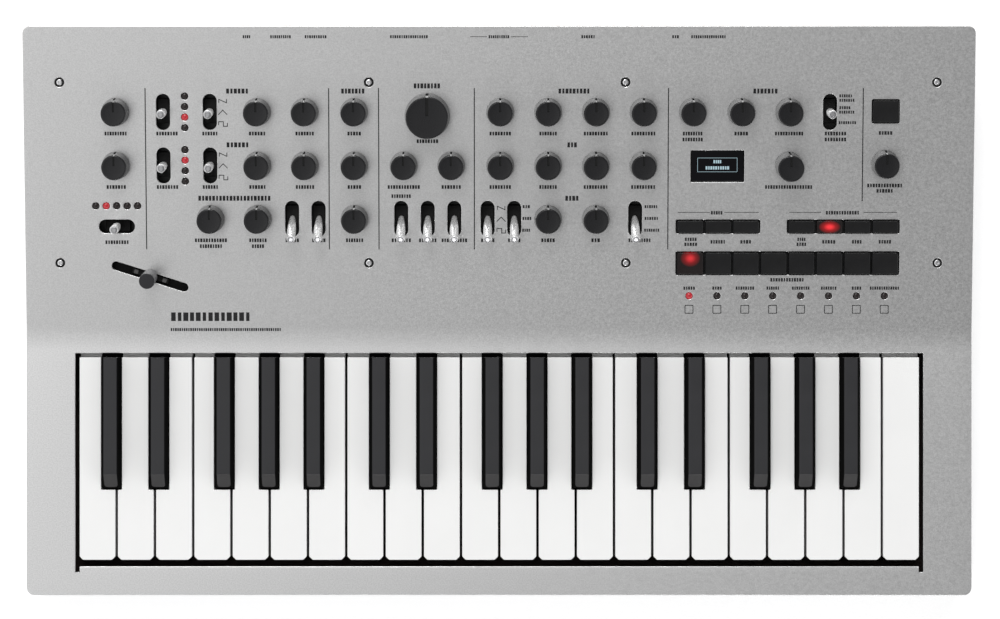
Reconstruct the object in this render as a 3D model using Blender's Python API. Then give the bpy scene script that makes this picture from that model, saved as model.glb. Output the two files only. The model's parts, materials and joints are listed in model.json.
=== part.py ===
"""A desktop synthesizer with 37 slim keys, built from separate solids.

Lengths are in millimetres and angles in degrees until make_object, which scales to metres.
+X is the player's right, +Y is away from the player, +Z is up, and Z = 0 is the table.
"""

import math

import bmesh
import bpy
from mathutils import Matrix, Vector

for old in list(bpy.data.objects):
    bpy.data.objects.remove(old, do_unlink=True)

MM = 0.001

# --- driving dimensions -------------------------------------------------------------------

WIDTH = 500.0
DEPTH = 300.0
BACK_Y = DEPTH / 2
FRONT_Y = -DEPTH / 2
GAP = 0.4  # clearance between pieces that rest on each other

PANEL_FLAT_Z = 52.0  # top of the panel round the keys
PANEL_THICK = 2.0
PANEL_SLOPE = 7.2
PANEL_CORNER_R = 4.0
BEND_Y = -14.0
BEND_HALF = 6.0

FOOT_HEIGHT = 3.0
WALL = 2.5
CASE_INSET = 1.5
CASE_CHAMFER = 4.0
FEET = [(x, y) for x in (-215.0, 215.0) for y in (-125.0, 118.0)]
REAR_PANEL_THICK = 9.5
REAR_PANEL_FRONT_Y = BACK_Y - 10.0

# keyboard
WHITE_KEYS = 22
WHITE_PITCH = 20.25
KEY_GAP = 1.3
KEY_CHAMFER = 1.8
KEY_FRONT_Y = -131.3
KEY_BACK_Y = -24.1  # the playing surface ends here and steps down under the panel
KEY_TOP_Z = 51.5
WHITE_BOTTOM_Z = 33.0
BLACK_BOTTOM_Z = 36.0
TAIL_TOP_Z = 44.8
TAIL_END_Y = 3.0
HINGE_Y = -2.0
HINGE_Z = 40.0
BLACK_FRONT_Y = -93.4
BLACK_BASE = 10.1
BLACK_TOP = 7.0
BLACK_RISE = 8.5
BLACK_FRONT_RUN = 7.5
BLACK_CLEARANCE = 0.45  # beside a black key
BLACK_FRONT_CLEARANCE = 0.75  # a pressed black key swings 0.54 forward here
BLACK_OFFSETS = {0: -2.7, 1: 2.1, 3: -3.7, 4: -0.25, 5: 3.2}  # after C, D, F, G and A
KEYWELL_HALF = 224.3
KEYWELL_FRONT_Y = -134.7
KEYWELL_BACK_Y = -21.9
KEYWELL_RELIEF = 3.0
KEYWELL_RELIEF_WIDTH = 2.3

# the frame under the keys: a plate on two legs, with ridges across it
PLATE_Z = (18.0, 21.0)
LEG_THICK = 3.0
KEYBED_Y = (-126.0, 6.0)
FRONT_STOP = {"y": (-124.0, -116.0), "top": 24.5}
CONTACT_RIDGE = {"y": (-36.0, -28.0), "top": 28.0}
RAIL_NECK = 1.5
RAIL_BEAD_R = 1.7
NOTCH_HALF = 2.3

# controls: the columns and rows they stand in
ROW_1 = 105.0
ROW_2 = 77.0
ROW_3 = 49.0
BOARD_DROP = 12.0  # from the panel's top down to the control board
BOARD_WIDTH = 476.0
BOARD_THICK = 1.6
BOARD_FRONT_Y = 5.0
BOARD_BACK_Y = 130.0
SINK = 0.8  # how far parts on a board reach into it, so that they join it
POT_TOP = -5.5
SHAFT_R = 3.0
KNOB_LIFT = 0.6

SMALL_KNOB = {"base_r": 7.3, "top_r": 6.6, "height": 13.2}
LARGE_KNOB = {"base_r": 11.9, "top_r": 11.1, "height": 14.0}
TALL_KNOB = {"base_r": 7.3, "top_r": 6.9, "height": 19.5}
POT_R = 5.0
OWN_KNOB_SIDES = 20
BOARD_KNOB_SIDES = 16

OWN_KNOBS = {
    "master_knob": (-201.7, ROW_1, SMALL_KNOB),
    "tempo_knob": (-201.7, ROW_2, SMALL_KNOB),
    "cutoff_knob": (-37.8, ROW_1 - 2.0, LARGE_KNOB),
    "program_knob": (152.4, ROW_2, TALL_KNOB),
    "voice_depth_knob": (203.0, ROW_2 + 0.8, SMALL_KNOB),
}
BOARD_KNOBS = [
    *((x, ROW_1) for x in (-127.3, -102.3, -76.3, 0.5, 25.7, 50.8, 75.8, 101.7, 127.2, 152.4)),
    *((x, ROW_2) for x in (-127.3, -102.3, -76.3, -50.3, -25.3, 0.5, 25.7, 50.8, 75.8)),
    *((x, ROW_3) for x in (-152.1, -127.3, -76.3, 25.7, 50.8)),
]

LEVER_LENGTH = 18.0  # above the panel
LEVER_PIVOT = -6.0  # below the panel's top
LEVER_TILT = 23.0
LEVER_SIDES = 12
SLOT_LENGTH = 18.9
SLOT_WIDTH = 7.2
SWITCH = (6.8, 13.0)  # width and length of the body under each lever
OCTAVE_LEVER = (-201.6, 45.0)
OWN_LEVERS = {
    "osc1_octave_lever": (-176.7, ROW_1, 0.0),
    "osc1_wave_lever": (-152.1, ROW_1, 0.0),
    "output_lever": (173.8, ROW_1, 0.0),
    "lfo_target_lever": (71.6, ROW_3, LEVER_TILT),
}
BOARD_LEVERS = [
    (-176.7, ROW_2, 0.0),
    (-152.1, ROW_2, 0.0),
    *((x, ROW_3, LEVER_TILT) for x in (-109.2, -95.2, -51.7, -37.7, -23.7, -6.1, 7.9)),
]

SLIDER_CENTRE = (-184.4, 18.6)
SLIDER_TURN = -17.8
SLIDER_SLOT_LENGTH = 42.0
SLIDER_SLOT_WIDTH = 4.5
SLIDER_STEM = 3.4
SLIDE_BODY = (46.0, 7.0)
SLIDER_CAP_R = 4.2
SLIDER_HEIGHT = 21.0

LED_R = 1.85
LED_POST_R = 1.4
LED_POST_TOP = -0.3
LED_PITCH = 5.5
VOICE_LED_PITCH = 14.74
LEDS = [
    *((-201.6 + LED_PITCH * i, 55.8) for i in range(-2, 3)),
    *((-165.3, ROW_1 + LED_PITCH * (i - 1.5)) for i in range(4)),
    *((-165.3, ROW_2 + LED_PITCH * (i - 1.5)) for i in range(4)),
    *((100.3 + VOICE_LED_PITCH * i, 8.4) for i in range(8)),
]

DISPLAY = {"x": 114.8, "y": 76.6, "width": 27.4, "depth": 15.8}

# each bank: centre x and y, buttons side by side, their pitch and their depth
BUTTON_BANKS = {
    "shift_button": (203.1, 105.3, 1, 13.9, 11.6),
    "edit_buttons": (115.35, 44.9, 3, 14.63, 6.3),
    "sequencer_buttons": (181.4, 44.9, 4, 14.7, 6.3),
    "voice_buttons": (152.1, 25.6, 8, 14.67, 11.4),
}
BUTTON_RISE = 2.0
BUTTON_GAP = 0.7
BUTTON_FLANGE = 1.6
BUTTON_FLANGE_TOP = -PANEL_THICK - 0.3
BUTTON_FLANGE_THICK = 1.6

# rear connectors, all on one height
CONNECTOR_Z = 42.0
CONNECTOR_OUT_Y = BACK_Y - 0.8
SLEEVE_DEPTH = 14.0
MAIN_BOARD_Z = 29.0
MAIN_BOARD_X = (-160.0, 140.0)
MAIN_BOARD_FRONT_Y = 62.0
JACK = {"body": (15.0, 26.0, 15.0), "sleeve_r": 5.6, "bore_r": 3.3, "bore_depth": 30.0}
MINI = {"body": (9.0, 14.0, 10.0), "sleeve_r": 3.6, "bore_r": 1.9, "bore_depth": 14.0}
DIN = {"body": (19.0, 16.0, 18.0), "sleeve_r": 8.4, "bore_r": 6.9, "bore_depth": 9.0}
INLET = {"body": (11.0, 14.0, 12.0), "sleeve_r": 4.8, "bore_r": 3.2, "bore_depth": 11.0}
CONNECTORS = [
    (-132.3, JACK),
    (-114.5, JACK),
    (-96.2, JACK),
    (-55.5, MINI),
    (-39.0, MINI),
    (-19.1, DIN),
    (16.5, DIN),
    (109.0, INLET),
]
USB = {"x": 46.4, "width": 12.0, "height": 11.0, "hole_width": 8.8, "hole_height": 8.2, "depth": 12.0}
POWER_SWITCH = 12.0
POWER_BUTTON = {"x": 92.0, "radius": 3.6, "collar_r": 5.0, "travel": 2.5}


# --- frames -------------------------------------------------------------------------------

SLOPE_TAN = math.tan(math.radians(PANEL_SLOPE))


def panel_top(y):
    """Height of the panel's top surface behind the bend, and of its flat part before it."""
    return PANEL_FLAT_Z + max(0.0, y - BEND_Y) * SLOPE_TAN


def on_panel(x, y, turn=0.0):
    """A frame on the sloping panel: Z is its outward normal, and turn is about that normal."""
    place = Matrix.Translation(Vector((x, y, panel_top(y))))
    lean = Matrix.Rotation(math.radians(PANEL_SLOPE), 4, "X")
    return place @ lean @ Matrix.Rotation(math.radians(turn), 4, "Z")


# --- shapes, each added to a bmesh ----------------------------------------------------------


def circle(radius, sides, x=0.0, y=0.0):
    angles = (2 * math.pi * (i + 0.5) / sides for i in range(sides))
    return [(x + radius * math.cos(a), y + radius * math.sin(a)) for a in angles]


def rectangle(width, depth, x=0.0, y=0.0):
    w, d = width / 2, depth / 2
    return [(x - w, y - d), (x + w, y - d), (x + w, y + d), (x - w, y + d)]


def stadium(length, width, sides):
    """A slot with round ends, long in Y."""
    radius = width / 2
    reach = length / 2 - radius
    half = [math.pi * i / sides for i in range(sides + 1)]
    upper = [(radius * math.cos(a), reach + radius * math.sin(a)) for a in half]
    return upper + [(-x, -y) for x, y in upper]


def add_prism(bm, outline, low, high, frame=Matrix(), axis="Z"):
    """An outline extruded from low to high along Z, or an outline in YZ extruded along X."""

    def point(u, v, w):
        return frame @ Vector((w, u, v) if axis == "X" else (u, v, w))

    bottom = [bm.verts.new(point(u, v, low)) for u, v in outline]
    top = [bm.verts.new(point(u, v, high)) for u, v in outline]
    bm.faces.new(bottom[::-1])
    bm.faces.new(top)
    for i, corner in enumerate(bottom):
        j = (i + 1) % len(bottom)
        bm.faces.new((corner, bottom[j], top[j], top[i]))


def add_box(bm, low, high, frame=Matrix()):
    outline = [(low[0], low[1]), (high[0], low[1]), (high[0], high[1]), (low[0], high[1])]
    add_prism(bm, outline, low[2], high[2], frame)


def add_turned(bm, profile, sides, frame=Matrix()):
    """A solid of revolution about Z, from (radius, z) pairs listed from bottom to top."""
    rings = []
    for radius, z in profile:
        rings.append([bm.verts.new(frame @ Vector((x, y, z))) for x, y in circle(radius, sides)])
    bm.faces.new(rings[0][::-1])
    bm.faces.new(rings[-1])
    for lower, upper in zip(rings, rings[1:]):
        for i in range(sides):
            j = (i + 1) % sides
            bm.faces.new((lower[i], lower[j], upper[j], upper[i]))


# --- objects --------------------------------------------------------------------------------


def material(name, colour, roughness, metallic=0.0):
    made = bpy.data.materials.new(name)
    made.use_nodes = True
    shader = made.node_tree.nodes["Principled BSDF"]
    shader.inputs["Base Color"].default_value = (*colour, 1.0)
    shader.inputs["Roughness"].default_value = roughness
    shader.inputs["Metallic"].default_value = metallic
    return made


def make_object(name, bm, finish=None, frame=Matrix()):
    """An object whose origin and axes are the frame, from a bmesh drawn about that origin."""
    bmesh.ops.recalc_face_normals(bm, faces=bm.faces)
    bm.transform(Matrix.Scale(MM, 4))
    mesh = bpy.data.meshes.new(name)
    bm.to_mesh(mesh)
    bm.free()
    obj = bpy.data.objects.new(name, mesh)
    bpy.context.collection.objects.link(obj)
    place = frame.copy()
    place.translation = frame.translation * MM
    obj.matrix_world = place
    if finish:
        mesh.materials.append(finish)
    return obj


def hidden_tool(name, bm):
    tool = make_object(name, bm)
    tool.hide_render = True
    tool.display_type = "WIRE"
    return tool


def use_tool(target, kind, tool):
    """Join or cut the target with a hidden solid."""
    change = target.modifiers.new(tool.name, "BOOLEAN")
    change.operation = kind
    change.solver = "EXACT"
    change.object = tool


def apply_tool(target, kind, name, bm):
    use_tool(target, kind, hidden_tool(name, bm))


# --- the case -------------------------------------------------------------------------------


def panel_line(drop, front, back):
    """The panel's profile in YZ, drop below its top surface, from front to back."""
    lowered = drop / math.cos(math.radians(PANEL_SLOPE))
    middle = PANEL_FLAT_Z + BEND_HALF * SLOPE_TAN / 4
    return [
        (front, PANEL_FLAT_Z - drop),
        (BEND_Y - BEND_HALF, PANEL_FLAT_Z - drop),
        (BEND_Y, middle - drop),
        (BEND_Y + BEND_HALF, panel_top(BEND_Y + BEND_HALF) - lowered),
        (back, panel_top(back) - lowered),
    ]


def rounded_rectangle(width, depth, radius, sides=4):
    outline = []
    for turn in range(4):
        start = turn * math.pi / 2
        corner_x = (width / 2 - radius) * (1 if turn in (0, 3) else -1)
        corner_y = (depth / 2 - radius) * (1 if turn in (0, 1) else -1)
        for i in range(sides + 1):
            a = start + i * math.pi / 2 / sides
            outline.append((corner_x + radius * math.cos(a), corner_y + radius * math.sin(a)))
    return outline


def keywell_outline():
    """The keyboard opening, with a small relief at each front corner."""
    inner = KEYWELL_HALF - KEYWELL_RELIEF_WIDTH
    relief_y = KEYWELL_FRONT_Y - KEYWELL_RELIEF
    return [
        (-KEYWELL_HALF, relief_y),
        (-inner, relief_y),
        (-inner, KEYWELL_FRONT_Y),
        (inner, KEYWELL_FRONT_Y),
        (inner, relief_y),
        (KEYWELL_HALF, relief_y),
        (KEYWELL_HALF, KEYWELL_BACK_Y),
        (-KEYWELL_HALF, KEYWELL_BACK_Y),
    ]


def make_top_panel():
    past = 10.0
    above = panel_line(0.0, FRONT_Y - past, BACK_Y + past)
    below = panel_line(PANEL_THICK, FRONT_Y - past, BACK_Y + past)
    bm = bmesh.new()
    add_prism(bm, below + above[::-1], -WIDTH / 2 - past, WIDTH / 2 + past, axis="X")
    panel = make_object("top_panel", bm, material("top_panel", (0.62, 0.62, 0.62), 0.38, 0.9))

    bm = bmesh.new()
    add_prism(bm, rounded_rectangle(WIDTH, DEPTH, PANEL_CORNER_R), 40.0, 90.0)
    apply_tool(panel, "INTERSECT", "panel_blank", bm)

    bm = bmesh.new()
    add_prism(bm, keywell_outline(), 45.0, 60.0)
    apply_tool(panel, "DIFFERENCE", "keywell", bm)

    low, high = -PANEL_THICK - 2.0, 2.0
    bm = bmesh.new()
    for x, y, _ in list(OWN_LEVERS.values()) + BOARD_LEVERS:
        add_prism(bm, stadium(SLOT_LENGTH, SLOT_WIDTH, 8), low, high, on_panel(x, y))
    turned_slot = stadium(SLOT_LENGTH, SLOT_WIDTH, 8)
    add_prism(bm, turned_slot, low, high, on_panel(*OCTAVE_LEVER, 90.0))
    slider_slot = stadium(SLIDER_SLOT_LENGTH, SLIDER_SLOT_WIDTH, 8)
    add_prism(bm, slider_slot, low, high, on_panel(*SLIDER_CENTRE, SLIDER_TURN + 90.0))
    shafts = [(x, y) for x, y, _ in OWN_KNOBS.values()] + BOARD_KNOBS
    for x, y in shafts:
        add_prism(bm, circle(SHAFT_R + 1.5 * GAP, 12), low, high, on_panel(x, y))
    for x, y in LEDS:
        add_prism(bm, circle(LED_R, 10), low, high, on_panel(x, y))
    for x, y, count, pitch, depth in BUTTON_BANKS.values():
        window = rectangle(count * pitch + GAP, depth + 2 * GAP)
        add_prism(bm, window, low, high, on_panel(x, y))
    window = rectangle(DISPLAY["width"] + 2 * GAP, DISPLAY["depth"] + 2 * GAP)
    add_prism(bm, window, low, high, on_panel(DISPLAY["x"], DISPLAY["y"]))
    apply_tool(panel, "DIFFERENCE", "panel_holes", bm)


def make_bottom_case():
    """A tray with a floor, a front wall and two side walls that follow the panel; feet below."""
    half = WIDTH / 2 - CASE_INSET
    front = FRONT_Y + CASE_INSET
    back = REAR_PANEL_FRONT_Y - GAP
    rim = panel_line(PANEL_THICK + GAP, front, back)
    outside = [(back, FOOT_HEIGHT), (front + CASE_CHAMFER, FOOT_HEIGHT), (front, FOOT_HEIGHT + CASE_CHAMFER)]
    bm = bmesh.new()
    add_prism(bm, outside + rim, -half, half, axis="X")
    case = make_object("bottom_case", bm, material("bottom_case", (0.55, 0.55, 0.56), 0.45, 0.2))

    floor = FOOT_HEIGHT + WALL
    past, over = back + 5.0, 90.0
    inner = front + WALL
    inside = [(past, floor), (inner + CASE_CHAMFER, floor), (inner, floor + CASE_CHAMFER)]
    bm = bmesh.new()
    add_prism(bm, inside + [(inner, over), (past, over)], -half + WALL, half - WALL, axis="X")
    apply_tool(case, "DIFFERENCE", "case_inside", bm)

    bm = bmesh.new()
    for x, y in FEET:
        add_turned(bm, [(8.0, 0.0), (9.0, FOOT_HEIGHT + 1.0)], 16, Matrix.Translation((x, y, 0.0)))
    apply_tool(case, "UNION", "case_feet", bm)


def connector_frame(x, y):
    """A frame at a connector whose Z points out of the back."""
    out = Matrix.Rotation(-math.pi / 2, 4, "X")
    return Matrix.Translation((x, y, CONNECTOR_Z)) @ out


def make_rear_panel():
    half = WIDTH / 2 - CASE_INSET
    bottom = FOOT_HEIGHT + GAP
    top = panel_line(PANEL_THICK + GAP, FRONT_Y, REAR_PANEL_FRONT_Y)[-1][1]
    back = REAR_PANEL_FRONT_Y + REAR_PANEL_THICK
    bm = bmesh.new()
    add_box(bm, (-half, REAR_PANEL_FRONT_Y, bottom), (half, back, top))
    panel = make_object("rear_panel", bm, material("rear_panel", (0.30, 0.16, 0.09), 0.55))

    depth = REAR_PANEL_THICK + 5.0
    bm = bmesh.new()
    for x, kind in CONNECTORS:
        hole = circle(kind["sleeve_r"] + GAP, 20)
        add_prism(bm, hole, -depth, depth, connector_frame(x, BACK_Y))
    usb_hole = rectangle(USB["width"] + 2 * GAP, USB["height"] + 2 * GAP)
    add_prism(bm, usb_hole, -depth, depth, connector_frame(USB["x"], BACK_Y))
    button_hole = circle(POWER_BUTTON["radius"] + GAP, 16)
    add_prism(bm, button_hole, -depth, depth, connector_frame(POWER_BUTTON["x"], BACK_Y))
    apply_tool(panel, "DIFFERENCE", "rear_panel_holes", bm)


# --- the keyboard ---------------------------------------------------------------------------


def make_keybed_frame():
    """One profile run across the case: legs, plate, contact ridge, front stop and hinge rail."""
    leg = FOOT_HEIGHT + WALL + GAP
    low, high = PLATE_Z
    front, back = KEYBED_Y
    bead = []
    for i in range(7):
        a = math.radians(-60 + 50 * i)
        bead.append((HINGE_Y + RAIL_BEAD_R * math.cos(a), HINGE_Z + RAIL_BEAD_R * math.sin(a)))
    profile = [(front, leg), (front + LEG_THICK, leg), (front + LEG_THICK, low)]
    profile += [(back - LEG_THICK, low), (back - LEG_THICK, leg), (back, leg), (back, high)]
    profile += [(HINGE_Y + RAIL_NECK, high)] + bead + [(HINGE_Y - RAIL_NECK, high)]
    for ridge in (CONTACT_RIDGE, FRONT_STOP):
        near, far = ridge["y"]
        profile += [(far, high), (far, ridge["top"]), (near, ridge["top"]), (near, high)]
    profile.append((front, high))
    bm = bmesh.new()
    add_prism(bm, profile, -KEYWELL_HALF, KEYWELL_HALF, axis="X")
    make_object("keybed_frame", bm, material("keybed_frame", (0.05, 0.05, 0.05), 0.6))


def make_key_tools():
    """Shared cutters: the step down under the panel, and the notch that hooks on the rail."""
    bm = bmesh.new()
    add_box(bm, (-WIDTH / 2, KEY_BACK_Y, TAIL_TOP_Z), (WIDTH / 2, TAIL_END_Y + 5, 70.0))
    step = hidden_tool("key_step", bm)
    crown = 1.0
    outline = [
        (HINGE_Y - NOTCH_HALF, WHITE_BOTTOM_Z - 5.0),
        (HINGE_Y + NOTCH_HALF, WHITE_BOTTOM_Z - 5.0),
        (HINGE_Y + NOTCH_HALF, HINGE_Z + crown),
        (HINGE_Y + crown, HINGE_Z + NOTCH_HALF),
        (HINGE_Y - crown, HINGE_Z + NOTCH_HALF),
        (HINGE_Y - NOTCH_HALF, HINGE_Z + crown),
    ]
    bm = bmesh.new()
    add_prism(bm, outline, -WIDTH / 2, WIDTH / 2, axis="X")
    return step, hidden_tool("key_notch", bm)


def black_key_centres():
    """The line between white keys that each black key stands on, shifted as on a piano."""
    centres = {}
    for i in range(WHITE_KEYS - 1):
        offset = BLACK_OFFSETS.get(i % 7)
        if offset is not None:
            centres[i] = (i + 1 - WHITE_KEYS / 2) * WHITE_PITCH + offset
    return centres


def hang_key(name, bm, finish, hinge, tools):
    key = make_object(name, bm, finish, hinge)
    for tool in tools:
        use_tool(key, "DIFFERENCE", tool)


def white_key_outline(i, blacks):
    """A key seen from above, narrowed beside each black key next to it."""
    notch_y = BLACK_FRONT_Y - BLACK_FRONT_CLEARANCE
    beside = BLACK_BASE / 2 + BLACK_CLEARANCE
    left = (i - WHITE_KEYS / 2) * WHITE_PITCH + KEY_GAP / 2
    right = left + WHITE_PITCH - KEY_GAP
    outline = [(left + KEY_CHAMFER, KEY_FRONT_Y), (right - KEY_CHAMFER, KEY_FRONT_Y)]
    outline.append((right, KEY_FRONT_Y + KEY_CHAMFER))
    if i in blacks:
        outline += [(right, notch_y), (blacks[i] - beside, notch_y), (blacks[i] - beside, TAIL_END_Y)]
    else:
        outline.append((right, TAIL_END_Y))
    if i - 1 in blacks:
        inner = blacks[i - 1] + beside
        outline += [(inner, TAIL_END_Y), (inner, notch_y), (left, notch_y)]
    else:
        outline.append((left, TAIL_END_Y))
    outline.append((left, KEY_FRONT_Y + KEY_CHAMFER))
    return outline


def make_white_keys(blacks, tools):
    ivory = material("white_keys", (0.86, 0.86, 0.84), 0.3)
    for i in range(WHITE_KEYS):
        centre = (i + 0.5 - WHITE_KEYS / 2) * WHITE_PITCH
        hinge = Matrix.Translation((centre, HINGE_Y, HINGE_Z))
        bm = bmesh.new()
        add_prism(bm, white_key_outline(i, blacks), WHITE_BOTTOM_Z, KEY_TOP_Z, hinge.inverted())
        hang_key(f"white_key_{i + 1:02d}", bm, ivory, hinge, tools)


def make_black_keys(blacks, tools):
    """Keys with sloping sides and a sloping front above the white keys."""
    ebony = material("black_keys", (0.02, 0.02, 0.022), 0.35)
    front = BLACK_FRONT_Y - HINGE_Y
    end = TAIL_END_Y - HINGE_Y
    levels = [
        (BLACK_BASE / 2, front, BLACK_BOTTOM_Z),
        (BLACK_BASE / 2, front, KEY_TOP_Z),
        (BLACK_TOP / 2, front + BLACK_FRONT_RUN, KEY_TOP_Z + BLACK_RISE),
    ]
    for number, centre in enumerate(blacks.values(), start=1):
        bm = bmesh.new()
        rings = []
        for wide, near, z in levels:
            corners = [(-wide, near), (wide, near), (wide, end), (-wide, end)]
            rings.append([bm.verts.new((x, y, z - HINGE_Z)) for x, y in corners])
        bm.faces.new(rings[0][::-1])
        bm.faces.new(rings[-1])
        for lower, upper in zip(rings, rings[1:]):
            for i in range(4):
                bm.faces.new((lower[i], lower[i - 3], upper[i - 3], upper[i]))
        hinge = Matrix.Translation((centre, HINGE_Y, HINGE_Z))
        hang_key(f"black_key_{number:02d}", bm, ebony, hinge, tools)


def make_keys():
    tools = make_key_tools()
    blacks = black_key_centres()
    make_white_keys(blacks, tools)
    make_black_keys(blacks, tools)


# --- the controls ---------------------------------------------------------------------------


def knob_profile(kind, foot):
    """A knob on its shaft, from the foot of the shaft up to the flat top."""
    low = KNOB_LIFT
    high = KNOB_LIFT + kind["height"]
    skirt = 1.6
    edge = 0.8
    return [
        (SHAFT_R, foot),
        (SHAFT_R, low),
        (kind["base_r"], low),
        (kind["base_r"], low + skirt),
        (kind["top_r"], high - edge),
        (kind["top_r"] - edge, high),
    ]


def lever_profile(foot):
    """A bat lever, about its pivot, that is narrow at its foot and chamfered at its tip."""
    tip = LEVER_LENGTH - LEVER_PIVOT
    return [(1.3, foot), (1.3, 2.0), (2.1, 8.2), (2.25, tip - 0.9), (1.6, tip)]


def make_own_knobs():
    for name, (x, y, kind) in OWN_KNOBS.items():
        bm = bmesh.new()
        add_turned(bm, knob_profile(kind, POT_TOP + GAP), OWN_KNOB_SIDES)
        make_object(name, bm, material(name, (0.03, 0.03, 0.032), 0.5), on_panel(x, y))


def lever_frame(x, y, turn, tilt):
    pivot = on_panel(x, y, turn) @ Matrix.Translation((0.0, 0.0, LEVER_PIVOT))
    return pivot @ Matrix.Rotation(math.radians(tilt), 4, "X")


def make_own_levers():
    placed = {name: (x, y, 0.0, tilt) for name, (x, y, tilt) in OWN_LEVERS.items()}
    placed["octave_lever"] = (*OCTAVE_LEVER, 90.0, 0.0)
    for name, place in placed.items():
        bm = bmesh.new()
        add_turned(bm, lever_profile(0.0), LEVER_SIDES)
        make_object(name, bm, material(name, (0.8, 0.8, 0.8), 0.2, 1.0), lever_frame(*place))


def make_pitch_slider():
    """A round cap just above the panel, on a square stem that goes down through the slot."""
    stem = SLIDER_STEM / 2
    foot_r, top_r = 3.9, 3.4
    frame = on_panel(*SLIDER_CENTRE, SLIDER_TURN)
    profile = [(foot_r, KNOB_LIFT), (SLIDER_CAP_R, 14.0), (SLIDER_CAP_R, 19.5), (top_r, SLIDER_HEIGHT)]
    bm = bmesh.new()
    add_turned(bm, profile, OWN_KNOB_SIDES)
    finish = material("pitch_slider", (0.06, 0.06, 0.065), 0.45)
    slider = make_object("pitch_slider", bm, finish, frame)
    bm = bmesh.new()
    add_box(bm, (-stem, -stem, POT_TOP + GAP), (stem, stem, KNOB_LIFT + 2.0), frame)
    apply_tool(slider, "UNION", "slider_stem", bm)


def make_button_banks():
    """Each bank is one rubber moulding: a flange under the panel and its buttons through it."""
    for name, (x, y, count, pitch, depth) in BUTTON_BANKS.items():
        width = count * pitch
        low = BUTTON_FLANGE_TOP - BUTTON_FLANGE_THICK
        flange = (width / 2 + BUTTON_FLANGE, depth / 2 + BUTTON_FLANGE)
        bm = bmesh.new()
        add_box(bm, (-flange[0], -flange[1], low), (*flange, BUTTON_FLANGE_TOP))
        bank = make_object(name, bm, material(name, (0.03, 0.03, 0.03), 0.7), on_panel(x, y))
        bm = bmesh.new()
        for i in range(count):
            centre = (i - (count - 1) / 2) * pitch
            outline = rectangle(pitch - BUTTON_GAP, depth, centre)
            add_prism(bm, outline, low + 0.5, BUTTON_RISE, on_panel(x, y))
        apply_tool(bank, "UNION", f"{name}_caps", bm)


def make_display_module():
    frame = on_panel(DISPLAY["x"], DISPLAY["y"])
    bm = bmesh.new()
    rim = 4.0
    body = rectangle(DISPLAY["width"] + rim, DISPLAY["depth"] + rim)
    add_prism(bm, body, -BOARD_DROP + GAP, -PANEL_THICK - GAP)
    module = make_object("display_module", bm, material("display_module", (0.01, 0.01, 0.012), 0.1), frame)
    bm = bmesh.new()
    add_prism(bm, rectangle(DISPLAY["width"], DISPLAY["depth"]), -5.0, -0.2, frame)
    apply_tool(module, "UNION", "display_window", bm)


def make_control_board():
    """The board under the panel, with the parts that stand on it joined to it."""
    middle = (BOARD_FRONT_Y + BOARD_BACK_Y) / 2
    half_depth = (BOARD_BACK_Y - BOARD_FRONT_Y) / 2 / math.cos(math.radians(PANEL_SLOPE))
    top = -BOARD_DROP
    bm = bmesh.new()
    add_prism(bm, rectangle(BOARD_WIDTH, 2 * half_depth), top - BOARD_THICK, top)
    board = make_object(
        "control_board", bm, material("control_board", (0.012, 0.014, 0.013), 0.5), on_panel(0.0, middle)
    )
    sink = top - SINK
    bm = bmesh.new()
    for x, y in BOARD_KNOBS:
        pot = [(POT_R, sink), (POT_R, POT_TOP)]
        add_turned(bm, pot + knob_profile(SMALL_KNOB, POT_TOP), BOARD_KNOB_SIDES, on_panel(x, y))
    for x, y, _ in OWN_KNOBS.values():
        add_turned(bm, [(POT_R, sink), (POT_R, POT_TOP)], BOARD_KNOB_SIDES, on_panel(x, y))
    switch_top = LEVER_PIVOT - 1.0
    across, along = SWITCH[0] / 2, SWITCH[1] / 2
    for x, y, _ in list(OWN_LEVERS.values()) + BOARD_LEVERS:
        add_box(bm, (-across, -along, sink), (across, along, switch_top), on_panel(x, y))
    add_box(bm, (-along, -across, sink), (along, across, switch_top), on_panel(*OCTAVE_LEVER))
    slide_frame = on_panel(*SLIDER_CENTRE, SLIDER_TURN)
    slide_x, slide_y = SLIDE_BODY[0] / 2, SLIDE_BODY[1] / 2
    add_box(bm, (-slide_x, -slide_y, sink), (slide_x, slide_y, POT_TOP - GAP), slide_frame)
    for x, y in LEDS:
        add_turned(bm, [(LED_POST_R, sink), (LED_POST_R, LED_POST_TOP)], 8, on_panel(x, y))
    apply_tool(board, "UNION", "board_parts", bm)
    bm = bmesh.new()
    foot = LEVER_PIVOT / 4  # reaches down into its switch
    for x, y, tilt in BOARD_LEVERS:
        add_turned(bm, lever_profile(foot), LEVER_SIDES, lever_frame(x, y, 0.0, tilt))
    apply_tool(board, "UNION", "board_levers", bm)


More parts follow.
